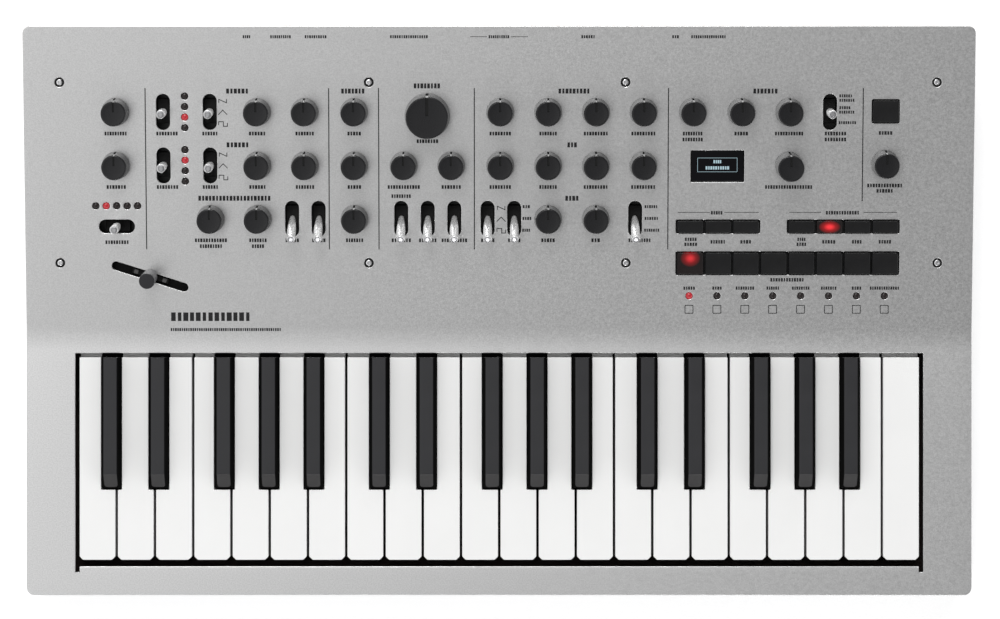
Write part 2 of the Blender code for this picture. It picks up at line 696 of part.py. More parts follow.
def make_main_board():
    """The board that carries the rear connectors."""
    front, back = MAIN_BOARD_FRONT_Y, REAR_PANEL_FRONT_Y - GAP
    left, right = MAIN_BOARD_X
    bm = bmesh.new()
    add_box(bm, (left, front, MAIN_BOARD_Z), (right, back, MAIN_BOARD_Z + BOARD_THICK))
    board = make_object("main_board", bm, material("main_board", (0.02, 0.12, 0.06), 0.5))

    seat = MAIN_BOARD_Z + SINK
    bodies, sleeves, bores = bmesh.new(), bmesh.new(), bmesh.new()
    for x, kind in CONNECTORS:
        wide, deep, tall = kind["body"]
        low = (x - wide / 2, back - deep, seat)
        add_box(bodies, low, (x + wide / 2, back, CONNECTOR_Z + tall / 2))
        frame = connector_frame(x, CONNECTOR_OUT_Y)
        add_prism(sleeves, circle(kind["sleeve_r"], 20), -SLEEVE_DEPTH, 0.0, frame)
        add_prism(bores, circle(kind["bore_r"], 20), -kind["bore_depth"], 1.0, frame)
    housing = 2.0
    wide, tall = USB["width"] + housing, USB["height"] + housing
    low = (USB["x"] - wide / 2, back - USB["depth"], seat)
    add_box(bodies, low, (USB["x"] + wide / 2, back, CONNECTOR_Z + tall / 2))
    frame = connector_frame(USB["x"], CONNECTOR_OUT_Y)
    add_prism(sleeves, rectangle(USB["width"], USB["height"]), -SLEEVE_DEPTH, 0.0, frame)
    add_prism(bores, rectangle(USB["hole_width"], USB["hole_height"]), -USB["depth"], 1.0, frame)
    half = POWER_SWITCH / 2
    low = (POWER_BUTTON["x"] - half, back - 16.0, seat)
    add_box(bodies, low, (POWER_BUTTON["x"] + half, back - 8.0, CONNECTOR_Z + half))
    apply_tool(board, "UNION", "connector_bodies", bodies)
    apply_tool(board, "UNION", "connector_sleeves", sleeves)
    apply_tool(board, "DIFFERENCE", "connector_bores", bores)


def make_power_button():
    """A push button through the rear panel, held behind it by its collar."""
    inner = REAR_PANEL_FRONT_Y - GAP
    frame = connector_frame(POWER_BUTTON["x"], inner)
    collar_r, radius = POWER_BUTTON["collar_r"], POWER_BUTTON["radius"]
    collar_top = -GAP / 2
    reach = BACK_Y - GAP / 4 - inner
    profile = [(collar_r, -POWER_BUTTON["travel"] - 2.0), (collar_r, collar_top)]
    profile += [(radius, collar_top), (radius, reach)]
    bm = bmesh.new()
    add_turned(bm, profile, 20)
    make_object("power_button", bm, material("power_button", (0.05, 0.05, 0.05), 0.5), frame)


make_top_panel()
make_bottom_case()
make_rear_panel()
make_keybed_frame()
make_keys()
make_own_knobs()
make_own_levers()
make_pitch_slider()
make_button_banks()
make_display_module()
make_control_board()
make_main_board()
make_power_button()
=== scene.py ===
"""The looks of the desktop synthesizer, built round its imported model.

Shapes are drawn in millimetres and scaled to metres when a piece is made.
"""

import json
from math import atan2, cos, pi, radians, sin, sqrt, tan

import bmesh
import bpy
from mathutils import Matrix, Vector


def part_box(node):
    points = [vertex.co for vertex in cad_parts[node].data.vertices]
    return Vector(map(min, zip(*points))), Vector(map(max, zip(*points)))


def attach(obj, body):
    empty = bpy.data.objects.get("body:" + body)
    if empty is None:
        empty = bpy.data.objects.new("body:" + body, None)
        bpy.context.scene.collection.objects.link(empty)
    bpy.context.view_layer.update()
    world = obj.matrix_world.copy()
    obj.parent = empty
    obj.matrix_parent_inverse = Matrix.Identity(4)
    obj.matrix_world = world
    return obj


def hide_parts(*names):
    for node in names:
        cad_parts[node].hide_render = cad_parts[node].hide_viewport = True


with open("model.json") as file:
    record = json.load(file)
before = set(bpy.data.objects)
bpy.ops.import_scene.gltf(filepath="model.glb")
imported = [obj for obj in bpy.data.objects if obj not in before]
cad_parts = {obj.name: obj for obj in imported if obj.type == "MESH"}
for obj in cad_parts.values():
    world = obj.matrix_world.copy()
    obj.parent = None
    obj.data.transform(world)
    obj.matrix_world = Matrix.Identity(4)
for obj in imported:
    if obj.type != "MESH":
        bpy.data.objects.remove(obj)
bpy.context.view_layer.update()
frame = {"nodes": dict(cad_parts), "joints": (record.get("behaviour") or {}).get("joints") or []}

MM = 0.001
CHASSIS = "chassis"
JOINTS = {joint["child"]: joint for joint in frame["joints"]}


def box_mm(node):
    low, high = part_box(node)
    return low / MM, high / MM


# --- sizes read from the frame ---

PANEL_LOW, PANEL_HIGH = box_mm("top_panel")
CASE_LOW, CASE_HIGH = box_mm("bottom_case")
# the inside faces are painted nearly black as shade
CASE_FLOOR = 5.2  # the case's faces above this height and within its walls are its inside
CASE_WALL = 2.2
REAR_LOW, REAR_HIGH = box_mm("rear_panel")
NORMAL = Vector(JOINTS["master_knob"]["axis"])
SLOPE = atan2(-NORMAL.y, NORMAL.z)
PANEL_THICK = 2.0
FLAT_Z = PANEL_LOW.z + PANEL_THICK
BEND_Y = PANEL_HIGH.y - (PANEL_HIGH.z - FLAT_Z) / tan(SLOPE)
BEND_HALF = 6.0

# --- the layout of the panel, in plan ---

ROW_1 = 105.0
ROW_2 = 77.0
ROW_3 = 49.0
LABEL_DROP = 11.3  # from a knob's centre down to its label
LARGE_LABEL_DROP = 13.3
LEVER_LABEL_DROP = 8.3  # under a lever that lies across
LABEL_LINE = 3.1  # down to a label's second line

# each knob: name, x, y, kind, width of its label
KNOBS = [
    ("master", -201.7, ROW_1, "small", 12.0),
    ("tempo", -201.7, ROW_2, "small", 10.5),
    ("osc1_pitch", -127.3, ROW_1, "small", 9.0),
    ("osc1_shape", -102.3, ROW_1, "small", 10.0),
    ("mixer_1", -76.3, ROW_1, "small", 7.4),
    ("cutoff", -37.8, ROW_1 - 2.0, "large", 11.6),
    ("amp_attack", 0.5, ROW_1, "small", 11.6),
    ("amp_decay", 25.7, ROW_1, "small", 9.5),
    ("amp_sustain", 50.8, ROW_1, "small", 13.0),
    ("amp_release", 75.8, ROW_1, "small", 13.0),
    ("delay_filter", 101.7, ROW_1, "small", 10.6),
    ("delay_time", 127.2, ROW_1, "small", 7.4),
    ("delay_feedback", 152.4, ROW_1, "small", 15.2),
    ("osc2_pitch", -127.3, ROW_2, "small", 9.0),
    ("osc2_shape", -102.3, ROW_2, "small", 10.0),
    ("mixer_2", -76.3, ROW_2, "small", 7.4),
    ("resonance", -50.3, ROW_2, "small", 17.2),
    ("filter_envelope", -25.3, ROW_2, "small", 10.5),
    ("env_attack", 0.5, ROW_2, "small", 11.6),
    ("env_decay", 25.7, ROW_2, "small", 9.5),
    ("env_sustain", 50.8, ROW_2, "small", 13.0),
    ("env_release", 75.8, ROW_2, "small", 13.0),
    ("program", 152.4, ROW_2, "tall", 25.2),
    ("voice_depth", 203.0, ROW_2 + 0.8, "small", 18.8),
    ("cross_mod", -152.1, ROW_3, "small", 17.2),
    ("osc2_envelope", -127.3, ROW_3, "small", 9.5),
    ("noise", -76.3, ROW_3, "small", 9.4),
    ("lfo_rate", 25.7, ROW_3, "small", 7.4),
    ("lfo_amount", 50.8, ROW_3, "small", 4.8),
]
KNOB_KINDS = {
    "small": {"base_r": 7.3, "top_r": 6.6, "height": 13.2},
    "large": {"base_r": 11.9, "top_r": 11.1, "height": 14.0},
    "tall": {"base_r": 7.3, "top_r": 6.9, "height": 19.5},
}
KNOB_LIFT = 0.6
SHAFT_R = 3.0
POT_TOP = -5.5
BOARD_DROP = 12.0

LEVER_TILT = 23.0
LEVER_PIVOT = -6.0
LEVER_LENGTH = 18.0
SLOT_LENGTH = 18.9
SLOT_WIDTH = 7.2
# each lever: name, x, y, turn of its slot, tilt, width of its label
LEVERS = [
    ("osc1_octave", -176.7, ROW_1, 0.0, 0.0, 11.6),
    ("osc1_wave", -152.1, ROW_1, 0.0, 0.0, 8.4),
    ("osc2_octave", -176.7, ROW_2, 0.0, 0.0, 11.6),
    ("osc2_wave", -152.1, ROW_2, 0.0, 0.0, 8.4),
    ("output", 173.8, ROW_1, 0.0, 0.0, 11.6),
    ("octave", -201.6, 45.0, 90.0, 0.0, 12.6),
]
# the levers of the lowest row, all tilted: name, x, width of its label
LOW_LEVERS = [
    ("sync", -109.2, 7.4), ("ring", -95.2, 7.4), ("pole", -51.7, 10.5),
    ("track", -37.7, 9.5), ("velocity", -23.7, 13.7), ("lfo_wave", -6.1, 7.4),
    ("lfo_mode", 7.9, 6.8), ("lfo_target", 71.6, 12.0),
]
LEVERS += [(name, x, ROW_3, 0.0, LEVER_TILT, width) for name, x, width in LOW_LEVERS]

SLIDER_CENTRE = (-184.4, 18.6)
SLIDER_TURN = -17.8
SLIDER_SLOT_LENGTH = 42.0
SLIDER_SLOT_WIDTH = 4.5
HOLE_GAP = 0.6
SWITCH = (6.8, 13.0)  # width and length of the body under each lever
SLIDE_CONTROL = (46.0, 7.0)

LED_HOLE_R = 1.85
LED_PITCH = 5.5
VOICE_PITCH = 14.74
VOICE_SQUARE_Y = 1.3
LEDS = {
    "octave": [(-201.6 + LED_PITCH * i, 55.8) for i in range(-2, 3)],
    "osc1": [(-165.3, ROW_1 + LED_PITCH * (1.5 - i)) for i in range(4)],
    "osc2": [(-165.3, ROW_2 + LED_PITCH * (1.5 - i)) for i in range(4)],
    "voice": [(100.3 + VOICE_PITCH * i, 8.4) for i in range(8)],
}
LIT_LEDS = [LEDS["octave"][1], LEDS["osc1"][2], LEDS["osc2"][1], LEDS["voice"][0]]

DISPLAY_CENTRE = (114.8, 76.6)
DISPLAY_SIZE = (27.4, 15.8)

# each bank of buttons: centre, number, pitch, depth, which one is lit
BANKS = {
    "shift_button": (203.1, 105.3, 1, 13.9, 11.6, None),
    "edit_buttons": (115.35, 44.9, 3, 14.63, 6.3, None),
    "sequencer_buttons": (181.4, 44.9, 4, 14.7, 6.3, 1),
    "voice_buttons": (152.1, 25.6, 8, 14.67, 11.4, 0),
}
SCREWS = [(x, 120.5) for x in (-231.0, -68.5, 66.3, 229.8)]
SCREWS += [(x, 25.8) for x in (-231.7, -68.8, 66.8, 231.2)]
SCREW_HOLE_R = 2.5
FEET = [(x, y) for x in (-215.0, 215.0) for y in (-125.0, 118.0)]

KEYWELL_HALF = 224.3
KEYWELL_FRONT_Y = -134.7
KEYWELL_BACK_Y = -21.9
KEYWELL_RELIEF = (2.3, 3.0)  # width and depth of the notch in each front corner
KEY_TOP_Z = 51.5
KEY_BACK_Y = -24.1
TAIL_TOP_Z = 44.8
HINGE_Y = -2.0
HINGE_Z = 40.0
NOTCH_HALF = 2.3
BLACK_STRIP = 6.3
BLACK_SHOULDER = 0.9
BLACK_CORNER = 0.8
# the front of a black key: (distance back from its foot, share of its height)
BLACK_FRONT = [
    (0.0, 0.01), (0.1, 0.06), (0.3, 0.12), (0.55, 0.165), (0.8, 0.20),
    (1.2, 0.25), (1.7, 0.305), (2.4, 0.385), (3.6, 0.52), (5.0, 0.69),
    (6.0, 0.81), (6.6, 0.88), (7.1, 0.935), (7.6, 0.975), (8.2, 1.0),
]
BLACK_FOOT = 0.8
# a black key's band up to this height above the white keys' tops is painted dark as shade
BLACK_FOOT_RISE = 1.75
STRIP_CORNER = 1.3
# faces that lean past this limit are painted by light: flanks darker as painted shade, the front slope
# lighter as painted light
FLANK_LIMIT = 0.35  # a face that leans further is a flank, or the slope if it leans to the front

CONNECTOR_Z = 42.0
SOCKET_FACE_Y = REAR_HIGH.y + 0.2
BOARD_BACK_Y = REAR_LOW.y - 0.4
BOARD_THICK = 1.6
MAIN_BOARD_FRONT_Y = 62.0
MAIN_BOARD_X = -10.0
MAIN_BOARD_Z = 29.0
HOUSING_LOW_Z = 30.4
JACKS = [-132.3, -114.5, -96.2]
MINI_JACKS = [-55.5, -39.0]
DIN_SOCKETS = [-19.1, 16.5]
USB_X = 46.4
POWER_X = 92.0
INLET_X = 109.0
POWER_END_Y = 149.9

PRINT_DEPTH = 0.08  # how far printing reaches into the panel
PRINT_LIFT = 0.03  # and how far it stands above it
# widths of the printed lines
DIVIDER_LINE = 0.55
RULE_LINE = 0.3
WAVE_LINE = 0.42
# how wide each block of a label is, as a share of the pitch
BLOCK_SHARES = (0.74, 0.58, 0.82, 0.66, 0.78, 0.54, 0.70)
SAW = [(-2.0, -0.8), (-2.0, 0.9), (2.0, -0.9), (2.0, 0.8)]
TRIANGLE = [(-2.2, -1.1), (0.0, 1.1), (2.2, -1.1)]
SQUARE = [(-2.2, -0.4), (-2.2, 1.2), (0.3, 1.2), (0.3, -1.2), (2.4, -1.2), (2.4, 0.4)]
# each wave's sign, and its height beside a lever
WAVES = [(SAW, 5.7), (TRIANGLE, -0.2), (SQUARE, -6.3)]
WAVE_PLACES = [(-145.3, ROW_1), (-145.3, ROW_2), (1.0, ROW_3)]
# how far to the right of their slots some levers' labels stand
LABEL_SHIFTS = {"osc1_octave": 2.0, "osc2_octave": 2.0, "output": 3.0, "lfo_target": 2.4}
# x, y and width of each section's heading
HEADINGS = [
    (-137.6, 115.9, 12.1), (-76.9, 115.9, 12.6), (-38.0, 118.6, 14.2), (39.3, 115.9, 16.8),
    (139.8, 115.9, 13.1), (-137.6, 87.8, 12.1), (38.3, 87.8, 5.3), (38.3, 59.8, 7.4),
    (-139.5, 59.8, 38.4),
]
EDGE_Y = 144.2
# x and width of the labels along the back edge
EDGE_LABELS = [
    (-132.5, 4.2), (-114.7, 11.0), (-96.3, 11.6), (-47.4, 20.0),
    (-0.2, 11.0), (46.6, 7.4), (92.4, 3.7), (109.7, 18.4),
]
# x, y, width and height of the other labels
PLAIN_LABELS = [
    (182.0, 113.4, 7.0, 1.6), (182.6, 111.1, 8.2, 1.6),
    (181.6, 107.2, 6.0, 1.6), (182.6, 104.9, 8.2, 1.6),
    (183.0, 99.4, 9.4, 1.6), (14.2, 55.4, 4.0, 1.6), (14.6, 49.2, 5.0, 1.6), (14.2, 43.0, 4.4, 1.6),
    (80.0, 55.4, 7.0, 1.6), (80.2, 49.2, 7.4, 1.6), (80.4, 43.0, 8.2, 1.6),
    (-51.7, 60.9, 10.5, 1.9), (203.1, 94.0, 7.4, 1.9), (114.6, 52.2, 6.3, 1.9), (180.9, 52.2, 17.8, 1.9),
    (101.0, 38.2, 6.4, 1.8), (101.0, 35.6, 7.0, 1.8), (115.3, 36.9, 8.0, 1.9), (130.0, 36.9, 6.0, 1.9),
    (159.4, 38.2, 4.6, 1.8), (159.4, 35.6, 5.4, 1.8), (173.8, 36.9, 7.2, 1.9), (188.6, 36.9, 5.4, 1.9),
    (203.4, 36.9, 6.8, 1.9), (152.0, 16.9, 18.0, 1.9),
    (-152.6, -2.6, 42.6, 4.6), (-144.6, -9.4, 58.6, 1.6),
]
VOICE_LABEL_WIDTHS = (6.3, 5.3, 10.0, 7.0, 9.5, 8.4, 5.3, 15.8)
PLAIN_LABELS += [(x, 12.5, width, 1.7) for (x, _), width in zip(LEDS["voice"], VOICE_LABEL_WIDTHS)]
DIVIDER_TOP = 117.2
# x and lower end of the lines between sections
DIVIDERS = [(x, 33.2) for x in (-186.0, -89.6, -63.4, -13.1, 88.9)] + [(191.2, 58.6)]
# the lines beside headings: from x, to x, y
RULES = [
    (94.3, 110.8, 52.4), (118.8, 136.6, 52.4), (153.0, 169.6, 52.4), (192.2, 209.4, 52.4),
    (-15.0, -6.6, EDGE_Y), (6.2, 15.0, EDGE_Y),
]
SKY_AXIS = (0.906, -0.423, 0.0)
# how bright the surround is, by how far its direction lies along the axis
SKY = [
    (-1.0, 0.4), (-0.5, 0.9), (-0.14, 1.5), (0.04, 0.55), (0.2, 0.13),
    (0.42, 0.33), (0.64, 0.5), (0.8, 0.7), (0.9, 2.2), (1.0, 2.2),
]

CARVED_SLOTS = 4  # enough for the faces of a carving to keep their material's number
MOST_NOISE = (0.3, 0.7)  # nearly all values of a noise lie between these


# --- where things are ---

ACROSS = Matrix(((0, 0, 1, 0), (1, 0, 0, 0), (0, 1, 0, 0), (0, 0, 0, 1)))  # draws in YZ, thick in X


def panel_top(y):
    return FLAT_Z + max(0.0, y - BEND_Y) * tan(SLOPE)


def on_panel(x, y, turn=0.0, lift=0.0):
    """A frame on the panel's top at a plan position; its Z is the panel's normal."""
    lean = Matrix.Rotation(SLOPE if y > BEND_Y else 0.0, 4, "X")
    place = Matrix.Translation((x, y, panel_top(y))) @ lean
    return place @ Matrix.Rotation(radians(turn), 4, "Z") @ Matrix.Translation((0, 0, lift))


def along_panel(y):
    """Distance along the panel's top from the bend to a plan position."""
    return (y - BEND_Y) / (cos(SLOPE) if y > BEND_Y else 1.0)


def bent(point):
    """A point of the flat sheet, as (x, distance from the bend, lift), on the bent panel."""
    x, along, lift = point
    if abs(along) >= BEND_HALF:
        angle = SLOPE if along > 0 else 0.0
        base = Vector((x, BEND_Y + along * cos(angle), FLAT_Z + along * sin(angle)))
    else:
        radius = BEND_HALF / tan(SLOPE / 2)
        angle = SLOPE * (along + BEND_HALF) / (2 * BEND_HALF)
        base = Vector((x, BEND_Y - BEND_HALF, FLAT_Z + radius))
        base += Vector((0.0, radius * sin(angle), -radius * cos(angle)))
    return base + lift * Vector((0.0, -sin(angle), cos(angle)))


def out_of_back(x, y=SOCKET_FACE_Y, z=CONNECTOR_Z):
    """A frame on the rear face whose Z points away from the instrument."""
    return Matrix.Translation((x, y, z)) @ Matrix.Rotation(-pi / 2, 4, "X")


# --- outlines, all anticlockwise ---


def circle(radius, sides=32, x=0.0, y=0.0, start=0.5):
    angles = (2 * pi * (i + start) / sides for i in range(sides))
    return [(x + radius * cos(a), y + radius * sin(a)) for a in angles]


def rounded(width, depth, radius, x=0.0, y=0.0, steps=5):
    """A rectangle with round corners."""
    outline = []
    for turn in range(4):
        corner_x = (width / 2 - radius) * (1 if turn in (0, 3) else -1)
        corner_y = (depth / 2 - radius) * (1 if turn in (0, 1) else -1)
        for i in range(steps + 1):
            a = (turn + i / steps) * pi / 2
            across, along = radius * cos(a), radius * sin(a)
            outline.append((x + corner_x + across, y + corner_y + along))
    return outline


def stadium(length, width, steps=12):
    """A slot with round ends, long in Y."""
    return rounded(width, length, width / 2 - 1e-3, steps=steps)


def turned_outline(outline, x, y, turn=0.0):
    a = radians(turn)
    return [
        (x + u * cos(a) - v * sin(a), y + u * sin(a) + v * cos(a))
        for u, v in outline
    ]


def grow(outline, distance):
    """The outline moved outwards by a distance, with mitred corners."""
    points = [Vector(p) for p in outline]
    moved = []
    for i, here in enumerate(points):
        into = (here - points[i - 1]).normalized()
        out = (points[(i + 1) % len(points)] - here).normalized()
        normal = Vector((into.y + out.y, -into.x - out.x))
        moved.append(here + normal * distance / max(0.2, 1.0 + into.dot(out)))
    return moved


# --- shapes, each added to a bmesh ---


def rim_levels(low, high, rim, low_rim, steps):
    """(inset, height) from the top face down to the bottom face, with rounded edges."""
    quarter = [pi / 2 * k / steps for k in range(steps + 1)]
    levels = [(0.0, high)]
    if rim:
        levels = [(rim * (1 - sin(a)), high - rim * (1 - cos(a))) for a in quarter]
    if low_rim:
        levels += [(low_rim * (1 - cos(a)), low + low_rim * (1 - sin(a))) for a in quarter]
    else:
        levels.append((0.0, low))
    return levels


def add_plate(bm, outline, low, high, rim=0.0, low_rim=0.0, holes=(), steps=3, frame_=Matrix()):
    """A slab between two heights, with rounded edges."""
    levels = rim_levels(low, high, rim, low_rim, steps)
    caps = ([], [])
    for loop, side in [(outline, -1)] + [(hole, 1) for hole in holes]:
        rings = []
        for inset, z in levels:
            rings.append([bm.verts.new(frame_ @ Vector((*p, z))) for p in grow(loop, side * inset)])
        count = len(loop)
        for upper, lower in zip(rings, rings[1:]):
            for i in range(count):
                j = (i + 1) % count
                bm.faces.new((upper[i], lower[i], lower[j], upper[j]))
        for cap, ring in zip(caps, (rings[0], rings[-1])):
            if holes:
                cap.extend(bm.edges.get((ring[i], ring[i - 1])) for i in range(count))
            else:
                bm.faces.new(ring)
    for cap in caps:
        if cap:
            bmesh.ops.triangle_fill(bm, edges=cap, use_beauty=True, use_dissolve=False)


def add_turned(bm, profile, sides=48, frame_=Matrix()):
    """A solid of revolution from (radius, z) pairs; a radius of zero closes to a point."""
    rings = []
    for radius, z in profile:
        if radius < 1e-6:
            rings.append([bm.verts.new(frame_ @ Vector((0.0, 0.0, z)))])
        else:
            outline = circle(radius, sides)
            rings.append([bm.verts.new(frame_ @ Vector((x, y, z))) for x, y in outline])
    for lower, upper in zip(rings, rings[1:]):
        for i in range(sides):
            j = (i + 1) % sides
            if len(lower) == 1:
                bm.faces.new((lower[0], upper[j], upper[i]))
            elif len(upper) == 1:
                bm.faces.new((lower[i], lower[j], upper[0]))
            else:
                bm.faces.new((lower[i], lower[j], upper[j], upper[i]))
    for ring, order in ((rings[0], -1), (rings[-1], 1)):
        if len(ring) > 1:
            bm.faces.new(ring[::order])


def add_ring(bm, inner, outer, low, high, rim, sides=48, frame_=Matrix()):
    """A washer or collar with rounded edges."""
    add_plate(bm, circle(outer, sides), low, high, rim, rim, [circle(inner, sides)], 3, frame_)


# --- pieces ---


def piece(name, bm, finish, body=CHASSIS, place=Matrix(), replaces=(), sharp=32.0):
    """A finished object that rides on a body of the frame."""
    finishes = finish if isinstance(finish, tuple) else (finish,)
    return place_mesh(name, mesh_from(name, bm, *finishes), body, place, replaces, sharp)


def in_scene(name, data):
    obj = bpy.data.objects.new(name, data)
    bpy.context.scene.collection.objects.link(obj)
    return obj


def place_mesh(name, mesh, body=CHASSIS, place=Matrix(), replaces=(), sharp=32.0):
    mesh.shade_smooth()
    mesh.set_sharp_from_angle(angle=radians(sharp))
    obj = in_scene(name, mesh)
    scaled = place.copy()
    scaled.translation = place.translation * MM
    obj.matrix_world = scaled
    weighted = obj.modifiers.new("even_shading", "WEIGHTED_NORMAL")
    weighted.keep_sharp = True
    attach(obj, body)
    if replaces:
        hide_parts(*replaces)
    return obj


def place_control(node, part, mesh, place, sharp=32.0):
    """A knob or lever, on its own node where the frame has one, otherwise on the chassis."""
    moves = node in frame["nodes"]
    body, replaces = (node, (node,)) if moves else (CHASSIS, ())
    place_mesh(f"{node}_{part}", mesh, body, place, replaces, sharp)


def softened(name, node, finish, width, body=CHASSIS):
    """A copy of a CAD node's shape with every sharp edge rounded, which stands for the node."""
    bm = bmesh.new()
    bm.from_mesh(frame["nodes"][node].data)
    bmesh.ops.remove_doubles(bm, verts=bm.verts, dist=1e-6)
    bmesh.ops.dissolve_limit(bm, angle_limit=radians(1.0), verts=bm.verts, edges=bm.edges)
    limit = radians(25.0)
    edges = [e for e in bm.edges if e.is_manifold and e.calc_face_angle(0.0) > limit]
    bmesh.ops.bevel(
        bm, geom=edges, offset=width * MM, segments=3, profile=0.5, affect="EDGES", clamp_overlap=True
    )
    bm.transform(Matrix.Scale(1 / MM, 4))
    return piece(name, bm, finish, body, replaces=(node,))


def carved(bm, tool):
    """The first shape less the second, as a new bmesh; both are used up."""
    objects = []
    for shape in (bm, tool):
        bmesh.ops.recalc_face_normals(shape, faces=shape.faces)
        mesh = bpy.data.meshes.new("carving")
        shape.to_mesh(mesh)
        shape.free()
        for _ in range(CARVED_SLOTS):
            mesh.materials.append(None)
        objects.append(in_scene("carving", mesh))
    cut = objects[0].modifiers.new("cut", "BOOLEAN")
    cut.operation = "DIFFERENCE"
    cut.solver = "EXACT"
    cut.object = objects[1]
    bpy.context.view_layer.update()
    graph = bpy.context.evaluated_depsgraph_get()
    result = bmesh.new()
    result.from_mesh(objects[0].evaluated_get(graph).to_mesh())
    for obj in objects:
        mesh = obj.data
        bpy.data.objects.remove(obj)
        bpy.data.meshes.remove(mesh)
    return result


def mesh_from(name, bm, *finishes):
    """A mesh in metres that several pieces can share."""
    bmesh.ops.recalc_face_normals(bm, faces=bm.faces)
    bm.transform(Matrix.Scale(MM, 4))
    mesh = bpy.data.meshes.new(name)
    bm.to_mesh(mesh)
    bm.free()
    for finish in finishes:
        mesh.materials.append(finish)
    return mesh


def add_part(bm, material_index, draw, *args, **kwargs):
    """Draw one more closed shell into a bmesh, in its own material."""
    before = set(bm.faces)
    draw(bm, *args, **kwargs)
    for face in bm.faces:
        if face not in before:
            face.material_index = material_index


# --- materials ---


def fill_ramp(ramp, stops):
    """Put (position, colour) stops into a colour ramp node."""
    elements = ramp.color_ramp.elements
    while len(elements) < len(stops):
        elements.new(0.5)
    for element, (position, colour) in zip(elements, stops):
        element.position = position
        element.color = (*colour, 1.0)


class Paint:
    """A Principled material, with helpers for the nodes that vary it."""

    def __init__(self, name, colour, roughness, metallic=0.0):
        self.material = bpy.data.materials.new(name)
        self.material.use_nodes = True
        self.tree = self.material.node_tree
        self.shader = self.tree.nodes["Principled BSDF"]
        self.colour = colour
        self.give(self.shader, Base_Color=(*colour, 1.0), Roughness=roughness, Metallic=metallic)
        self.coordinates = self.node("TexCoord").outputs["Object"]

    def give(self, node, **inputs):
        """Set a node's inputs to values, or feed them from other nodes' outputs."""
        for name, value in inputs.items():
            socket = node.inputs[name.replace("_", " ")]
            if isinstance(value, bpy.types.NodeSocket):
                self.tree.links.new(value, socket)
            else:
                socket.default_value = value

    def node(self, kind, **inputs):
        made = self.tree.nodes.new(f"ShaderNode{kind}")
        self.give(made, **inputs)
        return made

    def noise(self, scale, detail=2.0, stretch=(1.0, 1.0, 1.0)):
        place = self.node("Mapping", Scale=stretch, Vector=self.coordinates).outputs["Vector"]
        return self.node("TexNoise", Scale=scale, Detail=detail, Vector=place).outputs["Fac"]

    def ramp(self, factor, stops):
        made = self.node("ValToRGB", Fac=factor)
        fill_ramp(made, stops)
        return made.outputs["Color"]

    def mottle(self, factor, spread, contrast=0.15):
        """The base colour, lighter and darker by a share that follows the factor."""
        dark = tuple(c * (1 - spread) for c in self.colour)
        light = tuple(min(1.0, c * (1 + spread)) for c in self.colour)
        stops = [(0.5 - contrast, dark), (0.5 + contrast, light)]
        self.give(self.shader, Base_Color=self.ramp(factor, stops))

    def gloss(self, factor, low, high):
        least, most = MOST_NOISE
        made = self.node("MapRange", From_Min=least, From_Max=most, To_Min=low, To_Max=high, Value=factor)
        self.give(self.shader, Roughness=made.outputs["Result"])

    def bump(self, factor, strength, distance=0.0002):
        made = self.node("Bump", Strength=strength, Distance=distance, Height=factor)
        self.give(self.shader, Normal=made.outputs["Normal"])

    def glow(self, colour, strength):
        """Light of its own, in one colour or in those of a ramp."""
        colour = (*colour, 1.0) if isinstance(colour, tuple) else colour
        self.give(self.shader, Emission_Color=colour, Emission_Strength=strength)
        return self


def moulded(name, colour, roughness, grain=1400.0, strength=0.12, spread=0.05, metallic=0.0, shine=0.5):
    """Moulded plastic or rubber: fine spark-eroded grain and slightly uneven gloss."""
    paint = Paint(name, colour, roughness, metallic)
    paint.give(paint.shader, Specular_IOR_Level=shine)
    paint.mottle(paint.noise(45.0, 3.0), spread)
    paint.gloss(paint.noise(120.0, 3.0), roughness * 0.88, roughness * 1.14)
    paint.bump(paint.noise(grain, 2.0), strength)
    return paint


def plated(name, colour, roughness, stretch=(1.0, 1.0, 0.08), metallic=1.0, depth=0.03):
    """Bright metal with fine turning or drawing marks."""
    paint = Paint(name, colour, roughness, metallic)
    marks = paint.noise(2600.0, 2.0, stretch)
    paint.mottle(marks, depth)
    paint.gloss(paint.noise(300.0, 2.0), roughness * 0.9, roughness * 1.1)
    paint.bump(marks, depth)
    return paint


def blasted_metal():
    """Satin aluminium with the fine speckle of bead blasting."""
    paint = Paint("blasted_metal", (0.60, 0.60, 0.60), 0.33, 1.0)
    speckle = paint.noise(1500.0, 3.0)
    paint.mottle(speckle, 0.07, 0.12)
    paint.gloss(paint.noise(700.0, 2.0), 0.30, 0.37)
    paint.bump(speckle, 0.10, 0.0001)
    return paint.material


def oiled_wood():
    paint = Paint("oiled_wood", (0.33, 0.17, 0.09), 0.5)
    figure = paint.noise(9.0, 6.0, (0.35, 3.0, 9.0))
    stops = [
        (0.30, (0.115, 0.045, 0.022)),
        (0.46, (0.235, 0.105, 0.052)),
        (0.58, (0.330, 0.160, 0.080)),
        (0.72, (0.190, 0.082, 0.040)),
    ]
    paint.give(paint.shader, Base_Color=paint.ramp(figure, stops))
    pores = paint.noise(420.0, 4.0, (0.05, 1.0, 1.0))
    paint.gloss(pores, 0.42, 0.62)
    paint.bump(pores, 0.35, 0.0003)
    return paint.material


def circuit_board():
    paint = Paint("board_laminate", (0.012, 0.014, 0.013), 0.4)
    tracks = paint.noise(160.0, 0.0, (1.0, 0.15, 1.0))
    paint.mottle(tracks, 0.35, 0.04)
    paint.bump(tracks, 0.2)
    return paint.material


def lit_lens():
    """A lamp's lens, which glows a deep red with a brighter ring."""
    paint = moulded("led_lit", (0.30, 0.01, 0.015), 0.25)
    facing = paint.node("LayerWeight").outputs["Facing"]
    stops = [(0.0, (0.36, 0.015, 0.025)), (0.2, (0.80, 0.07, 0.10)), (0.6, (0.45, 0.02, 0.03))]
    return paint.glow(paint.ramp(facing, stops), 0.3).material


